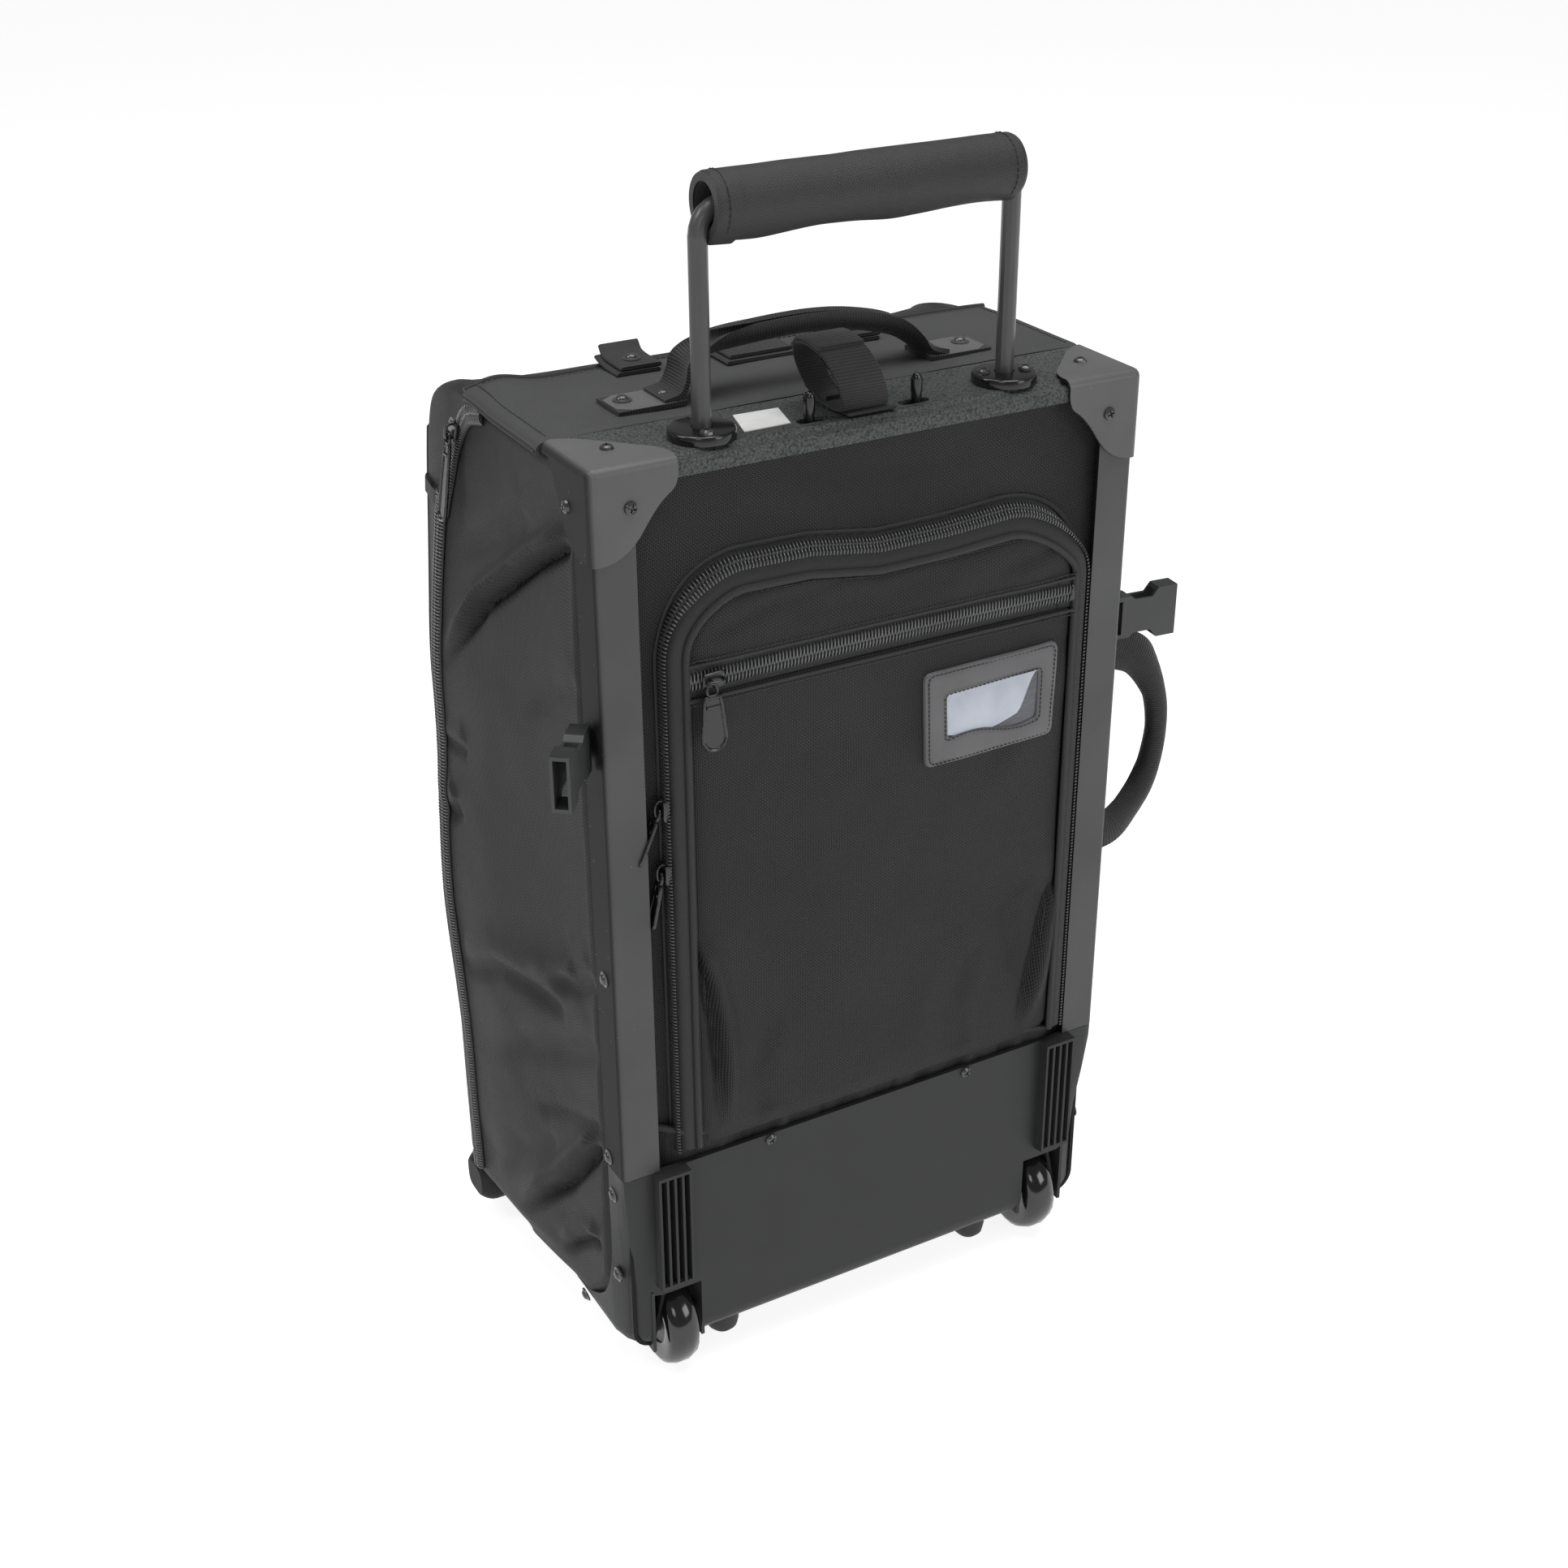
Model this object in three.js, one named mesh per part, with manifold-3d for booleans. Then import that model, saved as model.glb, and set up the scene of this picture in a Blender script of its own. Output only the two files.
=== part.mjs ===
// Pilot rolling flight case: an aluminium frame and a moulded wheel tray carry a soft bag,
// a pull handle, two wheels, zip pockets and side hardware. Millimetres, +Z up, rear face to -Y.
// The origin is on the floor under the centre of the whole case.

import * as THREE from 'three';
import { mergeVertices } from 'three/addons/utils/BufferGeometryUtils.js';
import { RoundedBoxGeometry } from 'three/addons/geometries/RoundedBoxGeometry.js';
import Module from 'manifold-3d';

const wasm = await Module();
wasm.setup();

// ---- Driving dimensions, measured from the frame's centre plane, rear face and the floor ----
const caseCentre = { x: 11.6, y: 102.4 };     // centre of the whole case in these measures
const gap = 0.3;                            // clearance between touching pieces

const frameHalfWidth = 157;                 // outer faces of the side rails
const railFace = 22;                        // width of a rail's rear face and side face
const railWall = 2.2;
const frameTop = 557;                       // upper surface of the top rail
const topRailDepth = 55;
const topRailLip = 9.5;                     // height of the rear lip
const sheetWall = 2;

const trayBottom = 22;
const trayTop = 150.5;
const trayWall = 3;
const trayDepth = 118;

const bagRear = 6.3;                        // rear fabric panel, recessed behind the rails
const zipLine = 181;                        // where the lid meets the body on the sides
const lidFront = 214;
const lidHingeHeight = 44;
const bagWall = 2.5;

const rodSpacing = 87.5;                    // half the distance between the handle legs
const rodRadius = 4.8;
const rodY = 22;
const rodFoot = 105;                        // lower end of the legs, handle part way out
const gripHeight = 667;                     // axis of the cross bar
const bendRadius = 14;

const wheelX = 124.5;
const wheelY = 22.3;
const wheelRadius = 30;
const wheelWidth = 20;
const axleRadius = 3;

const colours = {
  tray: 0x2c2d2f, rail: 0x3a3b3d, guard: 0x303133, dark: 0x141415, rod: 0x2a2a2b, fabric: 0x1d1d1e,
  webbing: 0x161617, rubber: 0x1b1b1c, tyre: 0x111112, clear: 0xb4bac4,
};

const caseGroup = new THREE.Group();
caseGroup.position.set(-caseCentre.x, -caseCentre.y, 0);

function addPiece(name, piece, colour, roughness = 0.6, metalness = 0) {
  const geometry = piece instanceof THREE.BufferGeometry ? piece : geometryOf(piece);
  geometry.computeVertexNormals();
  const material = new THREE.MeshStandardMaterial({ color: colours[colour], roughness, metalness });
  const mesh = new THREE.Mesh(geometry, material);
  mesh.name = name;
  caseGroup.add(mesh);
}

// ---- Solids: three.js geometry to manifold and back ----
function solid(geometry) {
  const bare = geometry.clone();
  bare.deleteAttribute('normal');
  bare.deleteAttribute('uv');
  const merged = mergeVertices(bare, 1e-4);
  return new wasm.Manifold(new wasm.Mesh({
    numProp: 3,
    vertProperties: new Float32Array(merged.attributes.position.array),
    triVerts: new Uint32Array(merged.index.array),
  }));
}

function geometryOf(manifold) {
  const mesh = manifold.getMesh();
  const geometry = new THREE.BufferGeometry();
  geometry.setAttribute('position', new THREE.BufferAttribute(mesh.vertProperties, 3));
  geometry.setIndex(new THREE.BufferAttribute(mesh.triVerts, 1));
  return geometry;
}

function join(first, ...others) {
  return others.reduce((sum, other) => sum.add(other), first);
}

function cut(first, ...others) {
  return others.reduce((rest, other) => rest.subtract(other), first);
}

// ---- Basic shapes, each given by its ranges along the axes ----
function box([x0, x1], [y0, y1], [z0, z1]) {
  const geometry = new THREE.BoxGeometry(x1 - x0, y1 - y0, z1 - z0);
  geometry.translate((x0 + x1) / 2, (y0 + y1) / 2, (z0 + z1) / 2);
  return solid(geometry);
}

function outline(points) {
  if (points instanceof THREE.Shape) return points;
  return new THREE.Shape(points.map(([u, v]) => new THREE.Vector2(u, v)));
}

function extruded(shape, depth, curveSegments) {
  return new THREE.ExtrudeGeometry(outline(shape), { depth, bevelEnabled: false, curveSegments });
}

// An outline in (y, z) pushed along X, in (x, z) pushed along Y, or in (x, y) pushed along Z.
function prismX(shape, x0, x1, curveSegments = 6) {
  const geometry = extruded(shape, x1 - x0, curveSegments);
  const turn = new THREE.Matrix4().set(0, 0, 1, x0, 1, 0, 0, 0, 0, 1, 0, 0, 0, 0, 0, 1);
  return solid(geometry.applyMatrix4(turn));
}

function prismY(shape, y0, y1, curveSegments = 6) {
  const geometry = extruded(shape, y1 - y0, curveSegments);
  const turn = new THREE.Matrix4().set(1, 0, 0, 0, 0, 0, -1, y1, 0, 1, 0, 0, 0, 0, 0, 1);
  return solid(geometry.applyMatrix4(turn));
}

function prismZ(shape, z0, z1, curveSegments = 6) {
  return solid(extruded(shape, z1 - z0, curveSegments).translate(0, 0, z0));
}

function roundedRectangle(halfWidth, halfHeight, radius, centreX = 0, centreY = 0) {
  const shape = new THREE.Shape();
  const corners = [[1, -1, -90], [1, 1, 0], [-1, 1, 90], [-1, -1, 180]];
  for (const [right, up, startDegrees] of corners) {
    const start = THREE.MathUtils.degToRad(startDegrees);
    const x = centreX + right * (halfWidth - radius);
    const y = centreY + up * (halfHeight - radius);
    shape.absarc(x, y, radius, start, start + Math.PI / 2, false);
  }
  shape.closePath();
  return shape;
}

function turned(profile, segments = 16) {
  const points = profile.map(([r, z]) => new THREE.Vector2(r, z));
  return solid(new THREE.LatheGeometry(points, segments).rotateX(Math.PI / 2));
}

function roundBar(radius, from, to, segments = 16) {
  return turned([[0, from], [radius, from], [radius, to], [0, to]], segments);
}

// A solid made along +Z, turned to point along a direction and moved to a place.
function placed(piece, direction, place, spinDegrees = 0) {
  const spin = new THREE.Matrix4().makeRotationZ(THREE.MathUtils.degToRad(spinDegrees));
  const aim = new THREE.Quaternion().setFromUnitVectors(
    new THREE.Vector3(0, 0, 1), new THREE.Vector3(...direction).normalize());
  const matrix = new THREE.Matrix4().makeRotationFromQuaternion(aim).multiply(spin);
  matrix.setPosition(...place);
  return piece.transform(matrix.elements);
}

function mirrored(piece, side) {
  return side > 0 ? piece : piece.scale([-1, 1, 1]);
}

const sides = [['left', -1], ['right', 1]];

// ---- Moulded wheel tray: rear wall, floor, side wings, wheel housings and ribbed skid blocks ----
function trayForm(inset, top, front) {
  const depths = [0, 1.2, 4.6, 10.5, 22, front];
  const heights = [0, 1, 3.7, 8, 13.5, 45, 70, 95, 120, top - trayBottom];
  const form = new THREE.BoxGeometry(2, 2, 2, 12, depths.length - 1, heights.length - 1);
  const position = form.attributes.position;
  const bottom = trayBottom + inset;
  const floorRadius = 13 - inset;
  for (let i = 0; i < position.count; i++) {
    const across = Math.sin(position.getX(i) * Math.PI / 2);
    const depth = depths[Math.round((position.getY(i) + 1) / 2 * (depths.length - 1))];
    const z = bottom + heights[Math.round((position.getZ(i) + 1) / 2 * (heights.length - 1))];
    const below = Math.max(0, bottom + floorRadius - z);
    const tuck = floorRadius - Math.sqrt(floorRadius ** 2 - below ** 2);
    const halfWidth = frameHalfWidth - inset - tuck;
    const rear = inset + tuck;
    const edgeRadius = 3 + 19 * THREE.MathUtils.smoothstep(trayTop - z, 0, 80) - inset / 2;
    let x = across * halfWidth;
    let y = rear + depth;
    const coreX = THREE.MathUtils.clamp(x, edgeRadius - halfWidth, halfWidth - edgeRadius);
    const coreY = Math.max(y, rear + edgeRadius);
    const out = Math.hypot(x - coreX, y - coreY);
    if (out > 0) {
      const reach = Math.max(Math.abs(x - coreX), Math.abs(y - coreY)) / out;
      x = coreX + (x - coreX) * reach;
      y = coreY + (y - coreY) * reach;
    }
    position.setXYZ(i, x, y, z);
  }
  return solid(form);
}

const housing = { x: [111.5, 140.5], y: [-12, 57], z: [0, 64], wall: 2 };
const trayScrew = { x: 65.5, z: 147 };

function grown([low, high], amount) {
  return [low - amount, high + amount];
}

function skidBlock() {
  const ribs = 5;
  const firstRib = 119.9;
  const ribPitch = 4.68;
  const ribWidth = 1.5;
  const ribDepth = 7.5;
  const lastRib = firstRib + (ribs - 1) * ribPitch;
  const foot = prismX([[1, 71], [-ribDepth, 73], [-ribDepth, 75], [1, 75]], firstRib - 0.7, lastRib + 0.7);
  const head = box([firstRib - 0.7, lastRib + 0.7], [-ribDepth, 1], [148.5, trayTop]);
  const all = [foot, head];
  for (let i = 0; i < ribs; i++) {
    const x = firstRib + i * ribPitch;
    all.push(box([x - ribWidth / 2, x + ribWidth / 2], [-ribDepth, 1], [74, 149.5]));
  }
  return join(...all);
}

function makeTray() {
  const wing = new THREE.Shape();
  wing.moveTo(-1, trayBottom - 1);
  wing.lineTo(trayDepth, trayBottom - 1);
  wing.lineTo(trayDepth, trayBottom + trayWall);
  wing.quadraticCurveTo(52, 28, 34, 50);
  wing.quadraticCurveTo(22, 66, 21, 90);
  wing.lineTo(20, trayTop);
  wing.lineTo(-1, trayTop);
  const outside = trayForm(0, trayTop + 5, trayDepth + 2);
  const shell = cut(outside, trayForm(trayWall, trayTop + 20, trayDepth + 20));
  let tray = shell.intersect(prismX(wing, -160, 160));
  for (const [, side] of sides) {
    const outer = box(grown(housing.x, housing.wall), [1.5, housing.y[1] + housing.wall],
      [trayBottom + 1, housing.z[1] + housing.wall]);
    const inner = box(housing.x, housing.y, housing.z);
    const axleHole = placed(roundBar(axleRadius + 0.15, 100, 150, 12), [1, 0, 0], [0, wheelY, wheelRadius]);
    const pieces = [outer, inner, axleHole, skidBlock()].map((piece) => mirrored(piece, side));
    tray = cut(tray.add(pieces[0]), pieces[1], pieces[2]).add(pieces[3]);
    const tubeHole = roundBar(6.8, trayBottom - 2, trayBottom + 8).translate(side * rodSpacing, rodY, 0);
    tray = cut(tray, tubeHole, screwHole([side * trayScrew.x, 0, trayScrew.z], [0, -1, 0], trayWall));
  }
  return tray;
}

// ---- Cross-head screws ----
const screw = { headRadius: 3.6, headHeight: 2.1, shank: 1.9, hole: 2.2 };

function makeScrew(shankLength) {
  const { headRadius, headHeight, shank } = screw;
  const body = turned([[0, -shankLength], [shank, -shankLength], [shank, 0.05], [headRadius, 0.05],
    [headRadius * 0.9, headHeight * 0.6], [headRadius * 0.55, headHeight], [0, headHeight]], 10);
  const slot = box([-2, 2], [-0.45, 0.45], [0.9, 3]);
  return cut(body, slot, slot.rotate([0, 0, 90]));
}

function screwHole(place, direction, depth) {
  return placed(roundBar(screw.hole, -depth - 1, 1, 8), direction, place);
}

// ---- Aluminium frame ----
function makeSideRail() {
  const profile = new THREE.Shape();
  const edge = 3;
  profile.moveTo(frameHalfWidth - railFace, 0);
  profile.lineTo(frameHalfWidth - edge, 0);
  profile.absarc(frameHalfWidth - edge, edge, edge, -Math.PI / 2, 0, false);
  profile.lineTo(frameHalfWidth, railFace);
  profile.lineTo(frameHalfWidth - railWall, railFace);
  profile.lineTo(frameHalfWidth - railWall, railWall);
  profile.lineTo(frameHalfWidth - railFace, railWall);
  return prismZ(profile, trayTop + gap, frameTop - topRailLip - gap, 4);
}

const leverSlot = { x: [20.6, 38], halfWidth: 3.4, y: 17 };

const guardClear = 2.4;                     // the rail's ends stay inside the guards' rounded edges

function makeTopRail() {
  const lipFoot = frameTop - topRailLip;
  const ledge = 7.5;
  const profile = [
    [0, lipFoot], [0, frameTop - 4], [0.6, frameTop - 2.6], [2, frameTop - 2], [ledge - 1.5, frameTop - 1.8],
    [ledge, frameTop - 1.2], [ledge + 1.2, frameTop], [topRailDepth - 1.5, frameTop],
    [topRailDepth, frameTop - 1.5], [topRailDepth, lipFoot], [topRailDepth - sheetWall, lipFoot],
    [topRailDepth - sheetWall, frameTop - sheetWall], [ledge + 2, frameTop - sheetWall],
    [ledge, frameTop - 4], [sheetWall, frameTop - 4.2], [sheetWall, lipFoot],
  ];
  let rail = prismX(profile, guardClear - frameHalfWidth, frameHalfWidth - guardClear);
  for (const [, side] of sides) {
    const bore = roundBar(rodRadius + 0.8, frameTop - 10, frameTop + 5);
    const rodHole = bore.translate(side * rodSpacing, rodY, 0);
    const { x, y, halfWidth } = leverSlot;
    const middle = (x[0] + x[1]) / 2;
    const slotShape = roundedRectangle(middle - x[0], halfWidth, halfWidth - 0.1, middle, y);
    const slot = prismZ(slotShape, frameTop - 5, frameTop + 5);
    rail = cut(rail, rodHole, mirrored(slot, side));
  }
  return rail;
}

// A corner guard wraps the frame's corner on three faces, each with its own curved flap.
const guardFaces = {
  rear: { place: [138, -2, 538], direction: [0, -1, 0] },
  top: { place: [137, 24, 559], direction: [0, 0, 1] },
  side: { place: [159, 24, 534], direction: [1, 0, 0] },
};

function makeGuard() {
  const thickness = 2 - gap;
  const size = 90;
  const shellBox = (inset, extra, radius) => {
    const reach = size + extra;
    const geometry = new RoundedBoxGeometry(reach, reach, reach, 3, radius);
    const corner = [frameHalfWidth + 2 - inset, -2 + inset, frameTop + 2 - inset];
    geometry.translate(corner[0] - reach / 2, corner[1] + reach / 2, corner[2] - reach / 2);
    return solid(geometry);
  };
  const shell = cut(shellBox(0, 0, 5), shellBox(thickness, 30, 5 - thickness));
  const rear = new THREE.Shape();
  rear.moveTo(165, 565);
  rear.lineTo(112.5, 565);
  rear.lineTo(112.5, 551);
  rear.quadraticCurveTo(113, 544, 117.5, 541.5);
  rear.quadraticCurveTo(124, 537, 131, 526);
  rear.quadraticCurveTo(139, 513.5, 151, 511.3);
  rear.lineTo(165, 510);
  const top = new THREE.Shape();
  top.moveTo(165, -5);
  top.lineTo(112.5, -5);
  top.lineTo(112.5, 7);
  top.quadraticCurveTo(114, 15, 120, 20);
  top.lineTo(140, 41);
  top.quadraticCurveTo(149, 50.5, 165, 51.5);
  const side = [[-5, 511.2], [14, 511.2], [22, 514.5], [27.5, 521.5], [32, 531.5], [49, 565], [-5, 565]];
  const flaps = join(prismY(rear, -4, 4), prismZ(top, frameTop - 4, frameTop + 4), prismX(side, 153, 162));
  let guard = shell.intersect(flaps);
  for (const { place, direction } of Object.values(guardFaces)) {
    guard = cut(guard, screwHole(place, direction, 2));
  }
  return guard;
}

// ---- Pull handle: guide tubes, flanges, bent rod, grip and release levers ----
function makeGuideTube() {
  const outer = 6.35;
  const inner = 5.5;
  return turned([[inner, trayBottom + gap], [outer, trayBottom + gap], [outer, frameTop - 6.2],
    [inner, frameTop - 6.2], [inner, trayBottom + gap]], 16);
}

const flange = { radius: 17, thickness: 5, screwCircle: 11.3 };

function makeFlange(screwAngles) {
  const { radius, thickness } = flange;
  const base = frameTop + gap;
  const bore = rodRadius + 0.5;
  let ring = turned([[bore, base], [radius, base], [radius, base + thickness - 1.2],
    [radius - 1.2, base + thickness], [bore, base + thickness], [bore, base]], 28);
  for (const place of screwAngles.map(flangeScrewPlace)) {
    ring = cut(ring, screwHole(place, [0, 0, 1], thickness));
  }
  return ring;
}

function flangeScrewPlace(degrees) {
  const angle = THREE.MathUtils.degToRad(degrees);
  return [flange.screwCircle * Math.cos(angle), flange.screwCircle * Math.sin(angle),
    frameTop + gap + flange.thickness];
}

function makeHandleRod(radius = rodRadius) {
  const segments = 12;
  const circle = new THREE.Shape();
  circle.absarc(0, 0, radius, 0, 2 * Math.PI, false);
  const lap = 0.5;
  const legTop = gripHeight - bendRadius;
  const barEnd = rodSpacing - bendRadius;
  const bar = placed(roundBar(radius, -barEnd - lap, barEnd + lap, segments), [1, 0, 0], [0, 0, gripHeight]);
  const pieces = [bar];
  for (const [, side] of sides) {
    pieces.push(roundBar(radius, rodFoot, legTop + lap, segments).translate(side * rodSpacing, 0, 0));
    const bend = new THREE.QuadraticBezierCurve3(
      new THREE.Vector3(side * rodSpacing, 0, legTop),
      new THREE.Vector3(side * (rodSpacing - 1), 0, gripHeight - 1),
      new THREE.Vector3(side * barEnd, 0, gripHeight));
    pieces.push(solid(new THREE.ExtrudeGeometry(circle, {
      steps: 6, curveSegments: segments / 2, bevelEnabled: false, extrudePath: bend })));
  }
  return join(...pieces).translate(0, rodY, 0);
}

function makeGrip() {
  const [from, to] = [-84, 86];
  const outer = 15.5;
  const sleeve = turned([[9.5, from], [outer - 1, from], [outer, from + 2], [outer, to - 2], [outer - 1, to],
    [9.5, to], [8, 66], [8, -66], [9.5, from]], 20);
  return cut(placed(sleeve, [1, 0, 0], [0, rodY, gripHeight]), makeHandleRod(rodRadius + 0.8));
}

function makeLever() {
  const plate = [[14, 13], [60, 13], [66, 19.5], [82, 19.5], [82, 24.5], [60, 24.5], [50, 21], [14, 21]];
  const bolt = prismZ(plate, frameTop - 5.5, frameTop - 2.4);
  const pin = turned([[0, -4], [2.7, -4], [2.7, 4], [3, 4.8], [3, 11.5], [2.2, 14], [0, 15]], 12);
  return bolt.add(pin.translate(31, leverSlot.y, frameTop));
}

// ---- Wheels ----
function makeTyre() {
  const half = wheelWidth / 2;
  const rim = 16;
  const crown = [[rim, -half + 1.5], [24, -half], [28, -half + 2], [wheelRadius, -half + 7]];
  const mirroredCrown = crown.map(([r, z]) => [r, -z]).reverse();
  return turned([...crown, ...mirroredCrown, crown[0]], 28);
}

function makeHub() {
  const bore = axleRadius + 0.08;
  const face = wheelWidth / 2 - 0.5;
  const web = face - 2;
  return turned([[bore, -face], [9, -face], [9, -web], [15.7, -web], [15.7, web], [9, web], [9, face],
    [bore, face], [bore, -face]], 20);
}

function makeAxle() {
  const reach = (housing.x[1] - housing.x[0]) / 2 + 1.8;
  return roundBar(axleRadius, -reach, reach, 12);
}

function makeBumper() {
  return turned([[0, 3], [6, 3.8], [9, 7], [10, 12], [10, trayBottom - gap], [0, trayBottom - gap]], 20);
}

function makeFrontFoot() {
  return turned([[0, 0], [12, 0], [14, 2], [15, 14.6], [0, 14.6]], 20);
}

// ---- Soft bag: one outer form, parted into the body and the lid ----
const underTray = trayBottom + trayWall + gap;
const bagFrontBottom = 15;

function bagTop(y) {
  if (y < topRailDepth + 0.5) return frameTop - topRailLip - 1;
  const drop = THREE.MathUtils.smoothstep(y, 135, 214);
  return frameTop + 0.4 - 34 * drop ** 1.6;
}

function bagBottom(y) {
  const step = THREE.MathUtils.smoothstep(y, 119, 140);
  return underTray - (underTray - bagFrontBottom) * step;
}

function bagBaseWidth(y) {
  return y < 23.5 ? 153.6 : 156.6;
}

// The sides swell outwards, most at mid height along the zip line.
function bagBulge(y, z) {
  const alongDepth = THREE.MathUtils.smoothstep(y, 45, 175) - 0.55 * THREE.MathUtils.smoothstep(y, 185, 214);
  const step = THREE.MathUtils.smoothstep;
  const swell = 16 * step(z, 20, 50) * (1 - step(z, 370, 570));
  const belly = 4.5 * step(z, 140, 250) * (1 - step(z, 250, 370));
  return alongDepth * (swell + belly);
}

function bagForm(inset, stations) {
  const form = new THREE.BoxGeometry(2, 2, 2, 8, stations.length - 1, 14);
  const position = form.attributes.position;
  for (let i = 0; i < position.count; i++) {
    const station = Math.round((position.getY(i) + 1) / 2 * (stations.length - 1));
    const y = stations[station];
    const frontRounding = Math.max(0, y - (lidFront - 9 - inset));
    const tuck = 9 - Math.sqrt(Math.max(0, 81 - frontRounding ** 2));
    const low = bagBottom(y) + inset + tuck;
    const high = bagTop(y) - inset - tuck;
    const halfHeight = (high - low) / 2;
    const halfWidth = bagBaseWidth(y) - inset - tuck;
    const radius = (y < 23.5 ? 5 : 13) - inset / 2;
    const px = halfWidth * Math.sin(position.getX(i) * Math.PI / 2);
    const pz = halfHeight * Math.sin(position.getZ(i) * Math.PI / 2);
    const coreX = THREE.MathUtils.clamp(px, radius - halfWidth, halfWidth - radius);
    const coreZ = THREE.MathUtils.clamp(pz, radius - halfHeight, halfHeight - radius);
    const out = Math.hypot(px - coreX, pz - coreZ);
    const reach = out > 0 ? Math.max(Math.abs(px - coreX), Math.abs(pz - coreZ)) / out : 0;
    const x = coreX + (px - coreX) * reach;
    const z = (low + high) / 2 + coreZ + (pz - coreZ) * reach;
    position.setXYZ(i, x * (1 + bagBulge(y, z) / halfWidth), y, z);
  }
  return solid(form);
}

function makeBag() {
  const depths = [bagRear, 22.8, 24.6, topRailDepth + 0.3, topRailDepth + 0.7, 85, 119, 128, 140, 160,
    zipLine, 205, 210, lidFront];
  const innerDepths = [bagRear + bagWall, 24.8, 26.6, topRailDepth + 2.8, topRailDepth + 3.2, 85, 119, 128,
    140, 160, zipLine, 203, 208, lidFront - bagWall];
  const shell = cut(bagForm(0, depths), bagForm(bagWall, innerDepths));
  const lidSpace = (margin) => {
    const zip = [[300, lidHingeHeight], [300, 700], [140, 700], [146, 556], [158, 534], [165, 522],
      [172, 504], [178, 481], [zipLine, 455], [zipLine, lidHingeHeight]];
    return prismX(zip.map(([y, z]) => [y + margin, z + margin]), -200, 200);
  };
  let body = cut(shell, lidSpace(-0.15));
  const hollows = [];
  for (const [, side] of sides) {
    const { x, y, z, wall } = housing;
    const well = box(grown(x, wall + gap), [0, y[1] + wall + gap], [0, z[1] + wall + gap]);
    hollows.push(mirrored(well, side));
    hollows.push(roundBar(6.8, 0, 600).translate(side * rodSpacing, rodY, 0));
  }
  const trayReach = [[-1, 0], [trayDepth + 1, 0], [trayDepth + 1, 30], [64, 42], [42, 60], [27, 94],
    [22.6, trayTop + gap], [-1, trayTop + gap]];
  hollows.push(cut(prismX(trayReach, -190, 190), trayForm(trayWall + 2 * gap, trayTop + 20, trayDepth + 60)));
  body = cut(body, ...hollows);
  const lid = shell.intersect(lidSpace(0.15));
  return { body, lid };
}

// ---- Zip pocket, straight zipper, ID holder ----
const pocket = {
  x: 3.5, halfWidth: 120.5, bottom: 161, top: 493.6, corner: 36, rear: bagRear - gap, front: -1.5,
};

function archOutline(halfWidth, bottom, top, corner) {
  const shape = new THREE.Shape();
  shape.moveTo(-halfWidth, bottom);
  shape.lineTo(halfWidth, bottom);
  shape.lineTo(halfWidth, top - corner);
  shape.absarc(halfWidth - corner, top - corner, corner, 0, Math.PI / 2, false);
  shape.absarc(corner - halfWidth, top - corner, corner, Math.PI / 2, Math.PI, false);
  shape.closePath();
  return shape;
}

function makePocketZipper() {
  const { x, halfWidth, bottom, top, corner, rear } = pocket;
  const width = 7.5;
  const outside = archOutline(halfWidth + gap + width, bottom, top + gap + width, corner + width);
  const inside = archOutline(halfWidth + gap, bottom - 5, top + gap, corner);
  return cut(prismY(outside, -1.2, rear), prismY(inside, -5, rear + 5)).translate(x, 0, 0);
}

function makeRearPocket() {
  const { x, halfWidth, bottom, top, corner, front, rear } = pocket;
  return prismY(archOutline(halfWidth, bottom, top, corner), front, rear).translate(x, 0, 0);
}

const holder = { x: 66, z: 392.5, halfWidth: 41, halfHeight: 26, windowHalfWidth: 29, windowHalfHeight: 14 };

function makeHolder() {
  const { x, z, halfWidth, halfHeight, windowHalfWidth, windowHalfHeight } = holder;
  const rear = pocket.front - gap;
  const plate = prismY(roundedRectangle(halfWidth, halfHeight, 4, x, z), rear - 2.2, rear, 3);
  return cut(plate, prismY(roundedRectangle(windowHalfWidth, windowHalfHeight, 3, x, z), -10, 5, 3));
}

// ---- Zip sliders and pulls, made lying along +Y with +Z away from the cloth ----
const slider = { halfWidth: 4, halfLength: 6, height: 3, bailHalf: 1.1, ringHeight: 4.4 };

function makeSlider() {
  const { halfWidth, halfLength, height, bailHalf } = slider;
  const body = prismZ([[-halfWidth, -halfLength + 2], [-1.5, -halfLength], [1.5, -halfLength],
    [halfWidth, -halfLength + 2], [halfWidth, halfLength - 1], [-halfWidth, halfLength - 1]], 0, height);
  const bail = cut(box([-bailHalf, bailHalf], [-5, 5], [height - 1, height + 4]),
    box([-5, 5], [-3.8, 3.8], [height, height + 2.9]));
  return body.add(bail);
}

function makePull(length) {
  const neck = 2.6;
  const plate = new THREE.Shape();
  plate.moveTo(-neck, 1.4);
  plate.lineTo(-neck, -6.6);
  plate.lineTo(-4, -9);
  plate.lineTo(-4, 4 - length);
  plate.absarc(0, 4 - length, 4, Math.PI, 2 * Math.PI, false);
  plate.lineTo(4, -9);
  plate.lineTo(neck, -6.6);
  plate.lineTo(neck, 1.4);
  const ringCorners = [[-1.4, -0.8], [1.4, -0.8], [1.4, -5.8], [-1.4, -5.8]];
  const ring = new THREE.Path(ringCorners.map(([x, y]) => new THREE.Vector2(x, y)));
  const eye = new THREE.Path();
  eye.absarc(0, 4.5 - length, 2, 0, 2 * Math.PI, true);
  plate.holes.push(ring, eye);
  return prismZ(plate, slider.ringHeight - 0.7, slider.ringHeight + 0.7, 5);
}

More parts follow.
